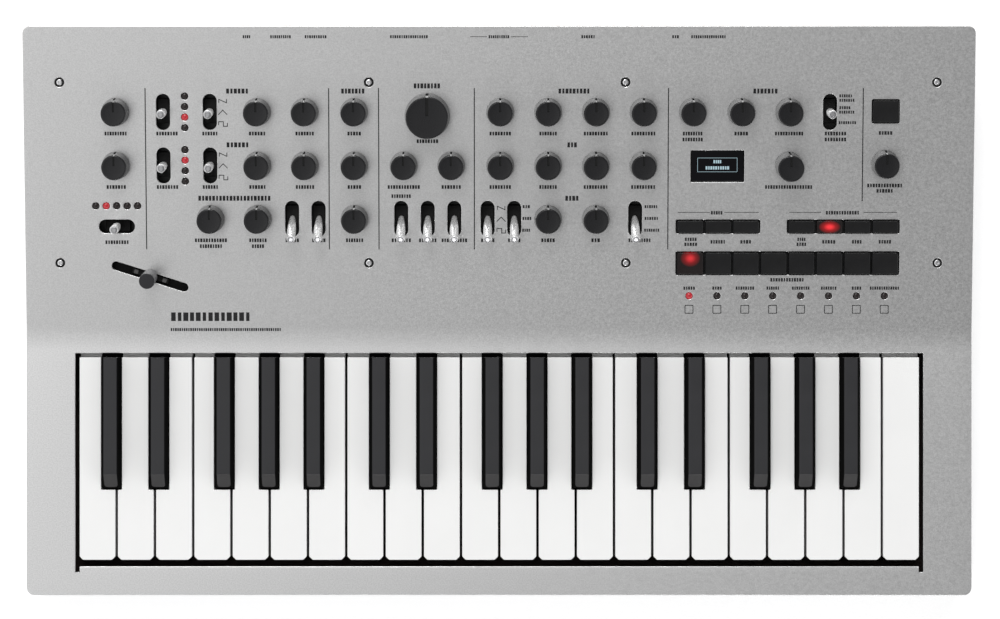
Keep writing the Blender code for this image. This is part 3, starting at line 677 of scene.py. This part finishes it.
def lit_cap(name, lamp_y, reach_x, reach_y, strength):
    """A button cap with a lamp that shines through it, brightest over the lamp's place."""
    paint = moulded(name, (0.006, 0.003, 0.003), 0.42, 1100.0, 0.14, shine=0.25)
    middle = (0.0, -lamp_y / reach_y, 0.0)
    shares = (1 / (reach_x * MM), 1 / (reach_y * MM), 40.0)
    mapping = paint.node("Mapping", Location=middle, Scale=shares, Vector=paint.coordinates)
    pool = paint.node("TexGradient", Vector=mapping.outputs["Vector"])
    pool.gradient_type = "SPHERICAL"
    stops = [(0.0, (0.0, 0.0, 0.0)), (0.45, (0.30, 0.004, 0.006)), (0.85, (1.0, 0.035, 0.045))]
    return paint.glow(paint.ramp(pool.outputs["Fac"], stops), strength).material


METAL = blasted_metal()
WOOD = oiled_wood()
BOARD = circuit_board()
CASE = moulded("case_plastic", (0.50, 0.50, 0.51), 0.42, 900.0, 0.22, 0.012, 0.25).material
WHITE = moulded("white_key_plastic", (0.77, 0.77, 0.765), 0.24, 500.0, 0.02, 0.008).material
BLACK = moulded("black_key_plastic", (0.015, 0.015, 0.017), 0.42, 900.0, 0.05, shine=0.36).material
# lit and shaded copies of the key's black: lighter on the front slope as painted light, darker on the
# flanks and foot as painted shade
BLACK_SLOPE_LIGHT = moulded("black_key_slope_painted_light", (0.034, 0.033, 0.034), 0.45, 900.0, 0.05, shine=0.36).material
FLANK_SHADE = moulded("black_key_flank_painted_shade", (0.006, 0.006, 0.006), 0.60, shine=0.0).material
KNOB = moulded("knob_plastic", (0.0075, 0.0075, 0.0085), 0.27, 1500.0, 0.06, shine=0.36).material
POINTER = moulded("pointer_paint", (0.50, 0.50, 0.50), 0.5, 1200.0, 0.05).material
CARRIAGE = moulded("carriage_plastic", (0.075, 0.073, 0.072), 0.5, shine=0.3).material
SLIDER = moulded("slider_plastic", (0.10, 0.10, 0.105), 0.35).material
SLIDER_END = moulded("slider_end", (0.014, 0.014, 0.016), 0.45, shine=0.3).material
RUBBER = moulded("button_rubber", (0.0045, 0.0045, 0.005), 0.40, 1100.0, 0.14, shine=0.25).material
FOOT = moulded("foot_rubber", (0.020, 0.020, 0.020), 0.8, 900.0, 0.3).material
# a near-black for the tray's inside, painted shade
CASE_INSIDE_SHADE = moulded("case_inside", (0.060, 0.046, 0.042), 0.7, shine=0.2).material
SHELL = moulded("black_housing", (0.005, 0.005, 0.005), 0.6, shine=0.2).material
INK = moulded("printed_ink", (0.012, 0.012, 0.013), 0.6, 2000.0, 0.05, shine=0.2).material
# bright metal on the bat's body, made partly diffuse white as painted sheen; a darker grey metal on its
# flat end as painted shade
LEVER = plated("lever_plate_painted_sheen", (0.95, 0.95, 0.95), 0.28, (1.0, 1.0, 1.0), 0.55, 0.01).material
LEVER_END_SHADE = plated("lever_end_painted_shade", (0.44, 0.44, 0.45), 0.34, (1.0, 1.0, 1.0)).material
STEEL = plated("screw_steel", (0.70, 0.70, 0.71), 0.26, (1.0, 1.0, 1.0)).material
BRASS = plated("contact_plate", (0.83, 0.66, 0.36), 0.28).material
DARK_LENS = moulded("led_dark", (0.016, 0.012, 0.012), 0.25, shine=0.3).material
LIT_LENS = lit_lens()
WINDOW = moulded("display_window", (0.003, 0.003, 0.004), 0.07, 300.0, 0.01, shine=0.18).material
LIGHT_MARKS = moulded("display_marks", (0.05, 0.06, 0.07), 0.4).glow((0.55, 0.78, 0.86), 0.62).material
LIT_CAPS = {
    "sequencer_buttons": lit_cap("sequencer_lit_cap", 0.0, 5.9, 3.5, 1.05),
    "voice_buttons": lit_cap("voice_lit_cap", 2.8, 5.4, 4.6, 0.70),
}


# --- the metal panel ---


def keywell_outline():
    inner = KEYWELL_HALF - KEYWELL_RELIEF[0]
    front = along_panel(KEYWELL_FRONT_Y)
    relief = front - KEYWELL_RELIEF[1]
    back = along_panel(KEYWELL_BACK_Y)
    left = [(-KEYWELL_HALF, back), (-KEYWELL_HALF, relief), (-inner, relief), (-inner, front)]
    right = [(inner, front), (inner, relief), (KEYWELL_HALF, relief), (KEYWELL_HALF, back)]
    return left + right


def panel_holes():
    holes = [keywell_outline()]
    for _, x, y, _, _ in KNOBS:
        holes.append(circle(SHAFT_R + HOLE_GAP, 24, x, along_panel(y)))
    for _, x, y, turn, _, _ in LEVERS:
        holes.append(turned_outline(stadium(SLOT_LENGTH, SLOT_WIDTH), x, along_panel(y), turn))
    slot = stadium(SLIDER_SLOT_LENGTH, SLIDER_SLOT_WIDTH)
    slider_x, slider_y = SLIDER_CENTRE
    holes.append(turned_outline(slot, slider_x, along_panel(slider_y), SLIDER_TURN + 90.0))
    for x, y in sum(LEDS.values(), []):
        holes.append(circle(LED_HOLE_R, 24, x, along_panel(y)))
    for x, y, count, pitch, depth, _ in BANKS.values():
        holes.append(rounded(count * pitch + 0.4, depth + 0.8, 0.5, x, along_panel(y)))
    x, y = DISPLAY_CENTRE
    holes.append(rounded(DISPLAY_SIZE[0] + 0.8, DISPLAY_SIZE[1] + 0.8, 0.6, x, along_panel(y)))
    for x, y in SCREWS:
        holes.append(circle(SCREW_HOLE_R, 32, x, along_panel(y)))
    return holes


def make_panel():
    """One sheet, drawn flat with its holes, cut into strips at the bend and then bent."""
    front = along_panel(PANEL_LOW.y)
    back = along_panel(PANEL_HIGH.y) - PANEL_THICK * sin(SLOPE)
    corner, rim, low_rim, cuts = 4.0, 0.35, 0.1, 8
    outline = rounded(PANEL_HIGH.x - PANEL_LOW.x, back - front, corner, 0.0, (front + back) / 2, 8)
    bm = bmesh.new()
    add_plate(bm, outline, -PANEL_THICK, 0.0, rim, low_rim, panel_holes())
    for i in range(cuts + 1):
        along = BEND_HALF * (2 * i / cuts - 1)
        everything = bm.verts[:] + bm.edges[:] + bm.faces[:]
        bmesh.ops.bisect_plane(bm, geom=everything, plane_co=(0, along, 0), plane_no=(0, 1, 0))
    for vert in bm.verts:
        vert.co = bent(vert.co)
    piece("metal_panel", bm, METAL, replaces=("top_panel",))


# --- case, back and keyboard ---


def make_case():
    tray = softened("case_tray", "bottom_case", CASE, 1.0)
    # faces inside the walls take the near-black as painted shade
    tray.data.materials.append(CASE_INSIDE_SHADE)
    for face in tray.data.polygons:
        x, y, z = face.center / MM
        between = abs(x) < CASE_HIGH.x - CASE_WALL and y > CASE_LOW.y + CASE_WALL
        if between and z > CASE_LOW.z + CASE_FLOOR:
            face.material_index = 1
    softened("keybed_rail", "keybed_frame", SHELL, 0.4)
    foot = bmesh.new()
    profile = [(0.0, 0.0), (7.4, 0.0), (8.6, 0.5), (9.3, 1.4), (9.3, 3.4), (7.0, 3.4), (0.0, 3.4)]
    add_turned(foot, profile)
    foot_mesh = mesh_from("rubber_foot", foot, FOOT)
    for number, (x, y) in enumerate(FEET, start=1):
        place = Matrix.Translation((x, y, 0.0))
        place_mesh(f"rubber_foot_{number}", foot_mesh, place=place)


def key_nodes(kind):
    return sorted(name for name in frame["nodes"] if name.startswith(kind))


def in_corner(along, radius):
    """How far in a rounded corner lies, this far along from its start."""
    left = radius - min(max(along, 0.0), radius)
    return radius - sqrt(radius**2 - left**2)


def key_cutter(top):
    """What is cut from a black key: the step under the panel and the notch for the rail."""
    edge, crown, half = 0.4, 1.0, 12.0
    above, behind, below = top + 5.0, HINGE_Y + 20.0, HINGE_Z - 12.0
    step = [(KEY_BACK_Y, TAIL_TOP_Z), (behind, TAIL_TOP_Z), (behind, above)]
    step += [(KEY_BACK_Y - edge, above), (KEY_BACK_Y - edge, top), (KEY_BACK_Y, top - edge)]
    notch = [(-NOTCH_HALF, below), (NOTCH_HALF, below), (NOTCH_HALF, HINGE_Z + crown)]
    notch += [(crown, HINGE_Z + NOTCH_HALF), (-crown, HINGE_Z + NOTCH_HALF)]
    notch += [(-NOTCH_HALF, HINGE_Z + crown)]
    tool = bmesh.new()
    for path in (step, [(HINGE_Y + y, z) for y, z in notch]):
        add_plate(tool, path, -half, half, frame_=ACROSS)
    return tool


def black_key_mesh(low, high):
    """A key lofted along its length: one strip down its top and front, the front part painted lighter as
    light, between flanks painted dark as shade.
    """
    base, depth = (high.x - low.x) / 2, high.y - low.y
    chamfer, steps = 0.3, 4
    bm = bmesh.new()
    rings = []
    for run, share in [*BLACK_FRONT, (depth, 1.0)]:
        top = (high.z - KEY_TOP_Z) * share
        wide = base - in_corner(run, BLACK_CORNER)
        half = BLACK_STRIP / 2 - in_corner(run - BLACK_FOOT, STRIP_CORNER)
        edge = min(BLACK_SHOULDER, 0.6 * top)
        side = [(wide - chamfer, low.z), (wide, low.z + chamfer), (wide, KEY_TOP_Z)]
        for k in range(steps + 1):
            a = pi / 2 * k / steps
            side.append((half + edge * cos(a), KEY_TOP_Z + top - edge * (1 - sin(a))))
        section = side + [(-x, z) for x, z in side[::-1]]
        rings.append([bm.verts.new((x, low.y + run, z)) for x, z in section])
    for near, far in zip(rings, rings[1:]):
        for i in range(len(near)):
            bm.faces.new((near[i - 1], near[i], far[i], far[i - 1]))
    bm.faces.new(rings[0][::-1])
    bm.faces.new(rings[-1])
    key = carved(bm, key_cutter(high.z))
    key.normal_update()
    for face in key.faces:
        # the foot band and the flanks get the darker black as painted shade; faces that lean to the front
        # get a lighter black as painted light
        foot = face.calc_center_median().z < KEY_TOP_Z + BLACK_FOOT_RISE
        if foot or abs(face.normal.x) > FLANK_LIMIT:
            face.material_index = 1
        elif face.normal.y < -FLANK_LIMIT:
            face.material_index = 2
    return mesh_from("black_key", key, BLACK, FLANK_SHADE, BLACK_SLOPE_LIGHT)


def make_keys():
    for node in key_nodes("white_key"):
        softened(f"{node}_cap", node, WHITE, 0.4, body=node)
    nodes = key_nodes("black_key")
    mesh = black_key_mesh(*box_mm(nodes[0]))
    for node in nodes:
        low, high = box_mm(node)
        place = Matrix.Translation(((low.x + high.x) / 2, 0.0, 0.0))
        place_mesh(f"{node}_cap", mesh, node, place, (node,), 40.0)


# --- screws ---


def make_screws():
    """Socket-head screws, each sunk in a black washer."""
    profile = [(0.0, -1.6), (1.6, -1.6), (1.6, -0.35), (1.45, -0.1), (1.2, 0.0), (0.0, 0.0)]
    seat = [(0.0, -1.9), (2.4, -1.9), (2.4, -1.65), (0.0, -1.65)]
    head, socket = bmesh.new(), bmesh.new()
    add_turned(head, profile, 40)
    add_plate(socket, circle(0.95, 6), -1.1, 0.5)
    head = carved(head, socket)
    add_part(head, 1, add_ring, 1.62, SCREW_HOLE_R, -1.7, -0.12, 0.1, 40)
    add_part(head, 1, add_turned, seat, 24)
    mesh = mesh_from("panel_screw", head, STEEL, SHELL)
    for number, (x, y) in enumerate(SCREWS, start=1):
        place_mesh(f"panel_screw_{number}", mesh, place=on_panel(x, y))


# --- knobs ---


def knob_mesh(kind, base_r, top_r, height):
    """A tapered cap with a pointer groove, a pale insert in its side and a metal shaft below."""
    low, high = KNOB_LIFT, KNOB_LIFT + height
    edge, steps = 0.7, 4
    rounding = []
    for k in range(steps + 1):
        a = pi / 2 * k / steps
        rounding.append((top_r - edge * (1 - cos(a)), high - edge * (1 - sin(a))))
    profile = [(0.0, low), (base_r - 0.4, low), (base_r, low + 0.4), (base_r, low + 1.7)]
    profile += rounding + [(top_r - 1.1, high - 0.08), (top_r * 0.5, high - 0.14), (0.0, high - 0.16)]
    cap = bmesh.new()
    add_turned(cap, profile, 72)

    groove = 1.5 if kind == "large" else 1.0
    start, deep = 0.9, 0.65
    lowest, above, outside = low + 1.2, high + 1.0, base_r + 1.0
    tool = bmesh.new()
    path = [(start, high - deep), (top_r - deep, high - deep), (base_r - deep, lowest)]
    path += [(outside, lowest), (outside, above), (start, above)]
    add_part(tool, 3, add_plate, path[::-1], -groove / 2, groove / 2, frame_=ACROSS)
    cap = carved(cap, tool)

    half = groove / 2 - 0.04
    taper = (base_r - top_r) / height
    strip = []
    for down, inward in ((4.5, 0.75), (4.5, 0.15), (1.2, 0.15), (1.2, 0.75)):
        strip.append((top_r + down * taper - inward, high - down))
    add_part(cap, 1, add_plate, strip, -half, half, frame_=ACROSS)
    add_part(cap, 2, add_turned, [(0.0, POT_TOP), (SHAFT_R, POT_TOP), (SHAFT_R, low), (0.0, low)], 32)
    return mesh_from(f"{kind}_knob", cap, KNOB, POINTER, STEEL, SHELL)


def make_knobs():
    meshes = {kind: knob_mesh(kind, **sizes) for kind, sizes in KNOB_KINDS.items()}
    for name, x, y, kind, _ in KNOBS:
        place_control(f"{name}_knob", "cap", meshes[kind], on_panel(x, y))


# --- levers and the slider ---


def make_levers():
    """Polished bats, narrow at the panel and fullest just under their flat ends."""
    tip = LEVER_LENGTH - LEVER_PIVOT
    profile = [(0.0, -0.6), (0.8, -0.6), (1.3, 0.0), (1.5, 1.0)]
    profile += [(1.6, 2.0), (1.85, 5.0), (2.1, 8.2), (2.25, 12.0)]
    profile += [(2.3, tip - 1.0), (2.2, tip - 0.4), (1.95, tip - 0.1)]
    profile += [(1.9, tip - 0.3), (0.0, tip - 0.3)]
    face = [(0.0, tip - 0.6), (1.88, tip - 0.6), (1.88, tip - 0.08)]
    face += [(1.4, tip), (1.22, tip - 0.25), (1.02, tip), (0.0, tip)]
    bm = bmesh.new()
    add_turned(bm, profile, 48)
    # the flat end takes the darker metal as painted shade
    add_part(bm, 1, add_turned, face, 48)
    mesh = mesh_from("bat_lever", bm, LEVER, LEVER_END_SHADE)
    for name, x, y, turn, tilt, _ in LEVERS:
        place = on_panel(x, y, turn, LEVER_PIVOT) @ Matrix.Rotation(radians(tilt), 4, "X")
        place_control(f"{name}_lever", "bat", mesh, place, 50.0)


def make_slider():
    """A tall round cap, with the carriage that shows in the slot beside it."""
    bm = bmesh.new()
    profile = [(0.0, KNOB_LIFT), (3.6, KNOB_LIFT), (3.9, 0.9), (4.2, 14.0), (4.2, 20.0), (4.1, 20.6)]
    profile += [(4.0, 20.8), (3.9, 20.6), (0.0, 20.6)]
    add_turned(bm, profile, 56)
    end = [(0.0, 20.4), (3.88, 20.4), (3.88, 20.85), (3.6, 21.0), (0.0, 20.9)]
    add_part(bm, 3, add_turned, end, 56)
    add_part(bm, 1, add_plate, rounded(3.4, 3.4, 0.5), POT_TOP + 0.4, 1.2)
    add_part(bm, 1, add_plate, rounded(20.0, 3.0, 0.5), -4.6, -3.2, 0.3)
    for x in (-7.8, 7.8):
        add_part(bm, 2, add_plate, rounded(2.4, 2.4, 0.5, x), -3.4, -2.4, 0.3)
    place = on_panel(*SLIDER_CENTRE, SLIDER_TURN)
    finishes = (SLIDER, SHELL, CARRIAGE, SLIDER_END)
    node = "pitch_slider"
    piece(f"{node}_cap", bm, finishes, node, place, (node,), 40.0)


# --- buttons ---


def make_buttons():
    """Each bank's flange is one rubber moulding; its caps ride with it."""
    rise, gap, rim, dish, lip = 2.0, 1.1, 0.55, 0.12, 3.2
    for bank, (x, y, count, pitch, depth, lit) in BANKS.items():
        width = count * pitch
        place = on_panel(x, y)
        bm = bmesh.new()
        add_plate(bm, rounded(width + lip, depth + lip, 1.0), -3.9, -2.3, 0.3)
        piece(f"{bank}_flange", bm, RUBBER, bank, place, (bank,))
        for i in range(count):
            centre = (i - (count - 1) / 2) * pitch
            wide = pitch - (gap if count > 1 else 0.2)
            bm = bmesh.new()
            add_plate(bm, rounded(wide, depth, 0.9), -3.4, rise, 0.45, steps=4)
            top = [f for f in bm.faces if f.normal.z > 0.99]
            crown = bmesh.ops.inset_region(bm, faces=top, thickness=rim)
            for face in bm.faces:
                if face.normal.z > 0.99 and face not in crown["faces"]:
                    for vert in face.verts:
                        vert.co.z -= dish
            at = place @ Matrix.Translation((centre, 0.0, 0.0))
            finish = LIT_CAPS[bank] if i == lit else RUBBER
            piece(f"{bank}_cap_{i + 1}", bm, finish, bank, at)


# --- lamps and display ---


def make_leds():
    bm = bmesh.new()
    dome = [(1.62 * cos(a), -0.15 + 0.75 * sin(a)) for a in (0.25, 0.5, 0.8, 1.1, 1.35)]
    add_turned(bm, [(0.0, -2.6), (1.7, -2.6), (1.7, -0.1)] + dome + [(0.0, 0.6)], 32)
    dark = mesh_from("led_dark", bm, DARK_LENS)
    lit = dark.copy()
    lit.materials[0] = LIT_LENS
    for group, places in LEDS.items():
        for number, (x, y) in enumerate(places, start=1):
            mesh = lit if (x, y) in LIT_LEDS else dark
            place_mesh(f"{group}_led_{number}", mesh, place=on_panel(x, y), sharp=60.0)


def make_display():
    width, depth = DISPLAY_SIZE
    glass, frame_y = -0.2, 0.7
    place = on_panel(*DISPLAY_CENTRE)
    bm = bmesh.new()
    add_plate(bm, rounded(width, depth, 0.5), -5.0, glass, 0.25)
    add_part(bm, 1, add_plate, rounded(width + 4, depth + 4, 1.0), -11.6, -2.4, 0.3)
    piece("display_glass", bm, (WINDOW, SHELL), place=place, replaces=("display_module",))
    bm = bmesh.new()
    outer = rounded(21.0, 7.5, 0.3, 0.0, frame_y)
    inner = rounded(20.64, 7.14, 0.2, 0.0, frame_y)
    add_plate(bm, outer, glass - 0.1, glass + PRINT_LIFT, holes=[inner])
    add_blocks(bm, -2.2, 2.2, frame_y + 1.7, 1.7, glass)
    add_blocks(bm, -6.3, 6.3, frame_y - 1.6, 1.7, glass)
    piece("display_marks", bm, LIGHT_MARKS, place=place)


def add_blocks(bm, left, right, y, height, surface=0.0):
    """A row of small upright blocks, which stands in for a printed word."""
    pitch = height * 0.72
    count = max(1, round((right - left) / pitch))
    step = (right - left) / count
    for i in range(count):
        x = left + (i + 0.5) * step
        wide = step * BLOCK_SHARES[i % len(BLOCK_SHARES)]
        left_x, right_x, low_y, high_y = x - wide / 2, x + wide / 2, y - height / 2, y + height / 2
        corners = [(left_x, low_y), (right_x, low_y), (right_x, high_y), (left_x, high_y)]
        add_plate(bm, corners, surface - PRINT_DEPTH, surface + PRINT_LIFT)


# --- printing ---


def add_line(bm, x0, y0, x1, y1, width):
    """A printed line between two points of the panel, given in plan."""
    start, end = Vector((x0, along_panel(y0))), Vector((x1, along_panel(y1)))
    run = (end - start).normalized() * width / 2
    side = Vector((-run.y, run.x))
    corners = [start - run - side, end + run - side, end + run + side, start - run + side]
    add_plate(bm, corners, -PRINT_DEPTH, PRINT_LIFT)


def add_label(bm, x, y, width, height=1.95):
    add_blocks(bm, x - width / 2, x + width / 2, along_panel(y), height)


def add_polyline(bm, points, x, y):
    for (u0, v0), (u1, v1) in zip(points, points[1:]):
        add_line(bm, x + u0, y + v0, x + u1, y + v1, WAVE_LINE)


def make_printing():
    bm = bmesh.new()
    for _, x, y, kind, width in KNOBS:
        drop = LARGE_LABEL_DROP if kind == "large" else LABEL_DROP
        add_label(bm, x, y - drop, width)
        if y == ROW_3 and x < -100.0:
            add_label(bm, x, y - drop - LABEL_LINE, width * 0.7)
    add_label(bm, 203.0, ROW_2 - LABEL_DROP - 2.0, 9.0)
    add_label(bm, 101.7, ROW_1 - LABEL_DROP - LABEL_LINE, 11.0)
    add_label(bm, 176.8, ROW_1 - LABEL_DROP - LABEL_LINE, 11.6)
    for name, x, y, turn, _, width in LEVERS:
        drop = LEVER_LABEL_DROP if turn else LABEL_DROP
        add_label(bm, x + LABEL_SHIFTS.get(name, 0.0), y - drop, width)
    piece("control_labels", bent_mesh(bm), INK)

    bm = bmesh.new()
    for x, y, width in HEADINGS:
        add_label(bm, x, y, width, 2.6)
    for x, width in EDGE_LABELS:
        add_label(bm, x, EDGE_Y, width, 1.6)
    for x, y, width, height in PLAIN_LABELS:
        add_label(bm, x, y, width, height)
    piece("section_labels", bent_mesh(bm), INK)

    bm = bmesh.new()
    for x, foot in DIVIDERS:
        add_line(bm, x, DIVIDER_TOP, x, foot, DIVIDER_LINE)
    for x0, x1, y in RULES:
        add_line(bm, x0, y, x1, y, RULE_LINE)
    for x, y in WAVE_PLACES:
        for wave, up in WAVES:
            add_polyline(bm, wave, x, y + up)
    for x, _ in LEDS["voice"]:
        outer = rounded(4.6, 4.6, 0.4, x, along_panel(VOICE_SQUARE_Y))
        inner = rounded(3.8, 3.8, 0.3, x, along_panel(VOICE_SQUARE_Y))
        add_plate(bm, outer, -PRINT_DEPTH, PRINT_LIFT, holes=[inner])
    piece("printed_lines", bent_mesh(bm), INK)


def bent_mesh(bm):
    for vert in bm.verts:
        vert.co = bent(vert.co)
    return bm


# --- boards and sockets ---


def make_control_board():
    low, high = box_mm("control_board")
    front, back, top = 5.0, 130.0, -BOARD_DROP
    place = on_panel(0.0, (front + back) / 2)
    depth = (back - front) / cos(SLOPE)
    bm = bmesh.new()
    add_plate(bm, rounded(high.x - low.x, depth, 2.0), top - BOARD_THICK, top, 0.1)
    piece("control_board_sheet", bm, BOARD, place=place, replaces=("control_board",))
    bm = bmesh.new()
    for _, x, y, _, _ in KNOBS:
        add_turned(bm, [(5.2, top), (5.2, POT_TOP - 0.3), (4.9, POT_TOP - 0.05)], 24, on_panel(x, y))
    for _, x, y, turn, _, _ in LEVERS:
        add_plate(bm, rounded(*SWITCH, 0.5), top, LEVER_PIVOT - 1.0, 0.3, frame_=on_panel(x, y, turn))
    slide = on_panel(*SLIDER_CENTRE, SLIDER_TURN)
    add_plate(bm, rounded(*SLIDE_CONTROL, 0.6), top, POT_TOP - 0.4, 0.3, frame_=slide)
    piece("pots_and_switches", bm, SHELL)


def add_cup(bm, outer, inner, depth, frame_, lip=0.4):
    """A round socket with a bevelled mouth and a floor."""
    profile = [(0.0, -depth - 1.0), (outer, -depth - 1.0), (outer, -lip), (outer - lip, 0.0)]
    profile += [(inner + lip, 0.0), (inner, -lip), (inner, -depth), (0.0, -depth)]
    add_turned(bm, profile, 48, frame_)


def make_back():
    """The wooden back, with a hole for each socket."""
    width, height = REAR_HIGH.x - REAR_LOW.x, REAR_HIGH.z - REAR_LOW.z
    thick = REAR_HIGH.y - REAR_LOW.y
    middle = (REAR_HIGH.z + REAR_LOW.z) / 2
    holes = [circle(6.0, 48, x) for x in JACKS] + [circle(4.0, 40, x) for x in MINI_JACKS]
    holes += [circle(8.8, 56, x) for x in DIN_SOCKETS]
    holes += [circle(4.0, 40, POWER_X), circle(5.2, 48, INLET_X), rounded(12.8, 11.8, 0.8, USB_X)]
    outline = rounded(width, height, 1.2, 0.0, CONNECTOR_Z - middle)
    bm = bmesh.new()
    add_plate(bm, outline, -thick, 0.0, 0.7, 0.4, holes, 4)
    place = out_of_back(0.0, REAR_HIGH.y)
    piece("wooden_back", bm, WOOD, place=place, replaces=("rear_panel",))


def make_main_board():
    width, depth = 300.0, BOARD_BACK_Y - MAIN_BOARD_FRONT_Y
    slab = rounded(width, depth, 2.0, MAIN_BOARD_X, (BOARD_BACK_Y + MAIN_BOARD_FRONT_Y) / 2)
    bm = bmesh.new()
    add_plate(bm, slab, MAIN_BOARD_Z, MAIN_BOARD_Z + BOARD_THICK, 0.1)
    piece("main_board_sheet", bm, BOARD, replaces=("main_board",))


def add_din_socket(bm, place):
    """A round socket with a face that has five pin holes and a key."""
    add_cup(bm, 8.4, 6.9, 9.0, place)
    angles = [radians(180 + 45 * k) for k in range(5)]
    holes = [circle(0.7, 16, 3.6 * cos(a), 3.6 * sin(a)) for a in angles]
    holes.append([(-1.0, 5.2), (1.0, 5.2), (1.0, 6.5), (-1.0, 6.5)])
    add_part(bm, 0, add_plate, circle(6.8, 48), -9.2, -2.6, 0.3, 0.0, holes, 2, place)


def add_inlet(bm, place):
    """The round inlet for power, with its pin."""
    pin = [(0.0, -11.2), (1.0, -11.2), (1.0, -1.6), (0.6, -1.2), (0.0, -1.1)]
    add_cup(bm, 4.8, 3.2, 11.0, place)
    add_part(bm, 1, add_turned, pin, 24, place)


def add_usb_socket(bm, place):
    """A steel shell round a tongue with four contacts."""
    mouth = rounded(8.8, 8.2, 0.9)
    add_part(bm, 2, add_plate, rounded(12.0, 11.0, 0.6), -14.0, 0.0, 0.2, 0.0, [mouth], 2, place)
    add_part(bm, 0, add_plate, rounded(8.7, 8.1, 0.8), -13.8, -12.0, frame_=place)
    add_part(bm, 0, add_plate, rounded(5.6, 3.1, 0.3), -12.2, -1.0, 0.2, frame_=place)
    for x in (-1.5, 1.5):
        for y in (-1.65, 1.65):
            add_part(bm, 1, add_plate, rounded(0.9, 0.3, 0.1, x, y), -11.0, -2.0, frame_=place)


def make_sockets():
    bm = bmesh.new()
    for x in JACKS:
        add_cup(bm, 5.6, 3.3, 25.0, out_of_back(x))
        add_part(bm, 1, add_ring, 3.35, 4.3, -1.0, 0.25, 0.2, 40, out_of_back(x))
    for x in MINI_JACKS:
        add_cup(bm, 3.6, 1.9, 13.0, out_of_back(x), 0.3)
        add_part(bm, 1, add_ring, 1.9, 2.6, -1.0, 0.2, 0.15, 40, out_of_back(x))
    for x in DIN_SOCKETS:
        add_din_socket(bm, out_of_back(x))
    add_inlet(bm, out_of_back(INLET_X))
    add_usb_socket(bm, out_of_back(USB_X))
    piece("rear_sockets", bm, (SHELL, BRASS, STEEL))


def make_housings():
    """The block behind each socket, sunk a little into the main board."""
    sizes = [(x, 15.0, 26.0, 15.0) for x in JACKS] + [(x, 9.0, 14.0, 10.0) for x in MINI_JACKS]
    sizes += [(x, 19.0, 16.0, 18.0) for x in DIN_SOCKETS]
    sizes += [(USB_X, 14.0, 12.0, 13.0), (INLET_X, 11.0, 14.0, 12.0)]
    bm = bmesh.new()
    for x, wide, deep, tall in sizes:
        height = CONNECTOR_Z + tall / 2 - HOUSING_LOW_Z
        block = rounded(wide, height, 0.6, x, (height - tall) / 2)
        add_plate(bm, block, -deep - 9.6, -9.7, 0.3, frame_=out_of_back(0.0))
    piece("socket_housings", bm, SHELL)


def make_power_button():
    """A round cap that passes through the back, with a wider seat behind it."""
    reach = POWER_END_Y - BOARD_BACK_Y
    profile = [(0.0, -4.4), (5.0, -4.4), (5.0, -0.2), (3.6, -0.2), (3.6, reach - 0.5)]
    profile += [(3.4, reach - 0.15), (3.0, reach), (2.4, reach - 0.15), (0.0, reach - 0.25)]
    bm = bmesh.new()
    add_turned(bm, profile, 48)
    place = out_of_back(POWER_X, BOARD_BACK_Y)
    piece("power_button_cap", bm, RUBBER, "power_button", place, ("power_button",))


make_panel()
make_case()
make_keys()
make_screws()
make_knobs()
make_levers()
make_slider()
make_buttons()
make_leds()
make_display()
make_printing()
make_control_board()
make_back()
make_main_board()
make_sockets()
make_housings()
make_power_button()


# --- the stage ---


def make_floor():
    bm = bmesh.new()
    bmesh.ops.create_grid(bm, x_segments=1, y_segments=1, size=6.0)
    mesh = bpy.data.meshes.new("floor")
    bm.to_mesh(mesh)
    bm.free()
    paint = Paint("floor_paper", (0.62, 0.62, 0.62), 0.9)
    paint.glow((1.0, 1.0, 1.0), 0.52)
    paint.bump(paint.noise(400.0), 0.02)
    mesh.materials.append(paint.material)
    floor = in_scene("floor", mesh)


def make_camera():
    """Straight above, from far enough away that the sides hardly show."""
    data = bpy.data.cameras.new("camera")
    data.sensor_width = 36.0
    data.lens = 149.7
    camera = in_scene("camera", data)
    camera.location = (0.0004, 0.0012, (FLAT_Z + 2200.0) * MM)
    bpy.context.scene.camera = camera


def make_lamp(name, place, target, size, power):
    data = bpy.data.lights.new(name, "AREA")
    data.shape = "RECTANGLE"
    data.size, data.size_y = size
    data.energy = power
    lamp = in_scene(name, data)
    lamp.location = place
    lamp.rotation_euler = (Vector(place) - Vector(target)).to_track_quat("Z", "Y").to_euler()
    lamp.visible_camera = False


def make_sky():
    """A grey surround whose brightness changes along one axis only."""
    world = bpy.data.worlds.new("studio")
    world.use_nodes = True
    nodes, links = world.node_tree.nodes, world.node_tree.links
    direction = nodes.new("ShaderNodeTexCoord").outputs["Generated"]
    split = nodes.new("ShaderNodeVectorMath")
    split.operation = "DOT_PRODUCT"
    split.inputs[1].default_value = SKY_AXIS
    links.new(direction, split.inputs[0])
    across = nodes.new("ShaderNodeMapRange")
    across.inputs["From Min"].default_value = -1.0
    links.new(split.outputs["Value"], across.inputs["Value"])
    ramp = nodes.new("ShaderNodeValToRGB")
    fill_ramp(ramp, [((x + 1.0) / 2, [level / 2] * 3) for x, level in SKY])
    links.new(across.outputs["Result"], ramp.inputs["Fac"])
    links.new(ramp.outputs["Color"], nodes["Background"].inputs["Color"])
    nodes["Background"].inputs["Strength"].default_value = 2.0
    bpy.context.scene.world = world


make_floor()
make_camera()
make_sky()
make_lamp("back_light", (-0.3, 1.5, 2.2), (0.0, 0.0, 0.05), (0.8, 0.8), 30.0)
make_lamp("front_light", (0.0, -2.4, 1.8), (0.0, 0.0, 0.05), (0.8, 0.8), 14.0)
bpy.context.scene.view_settings.view_transform = "Standard"
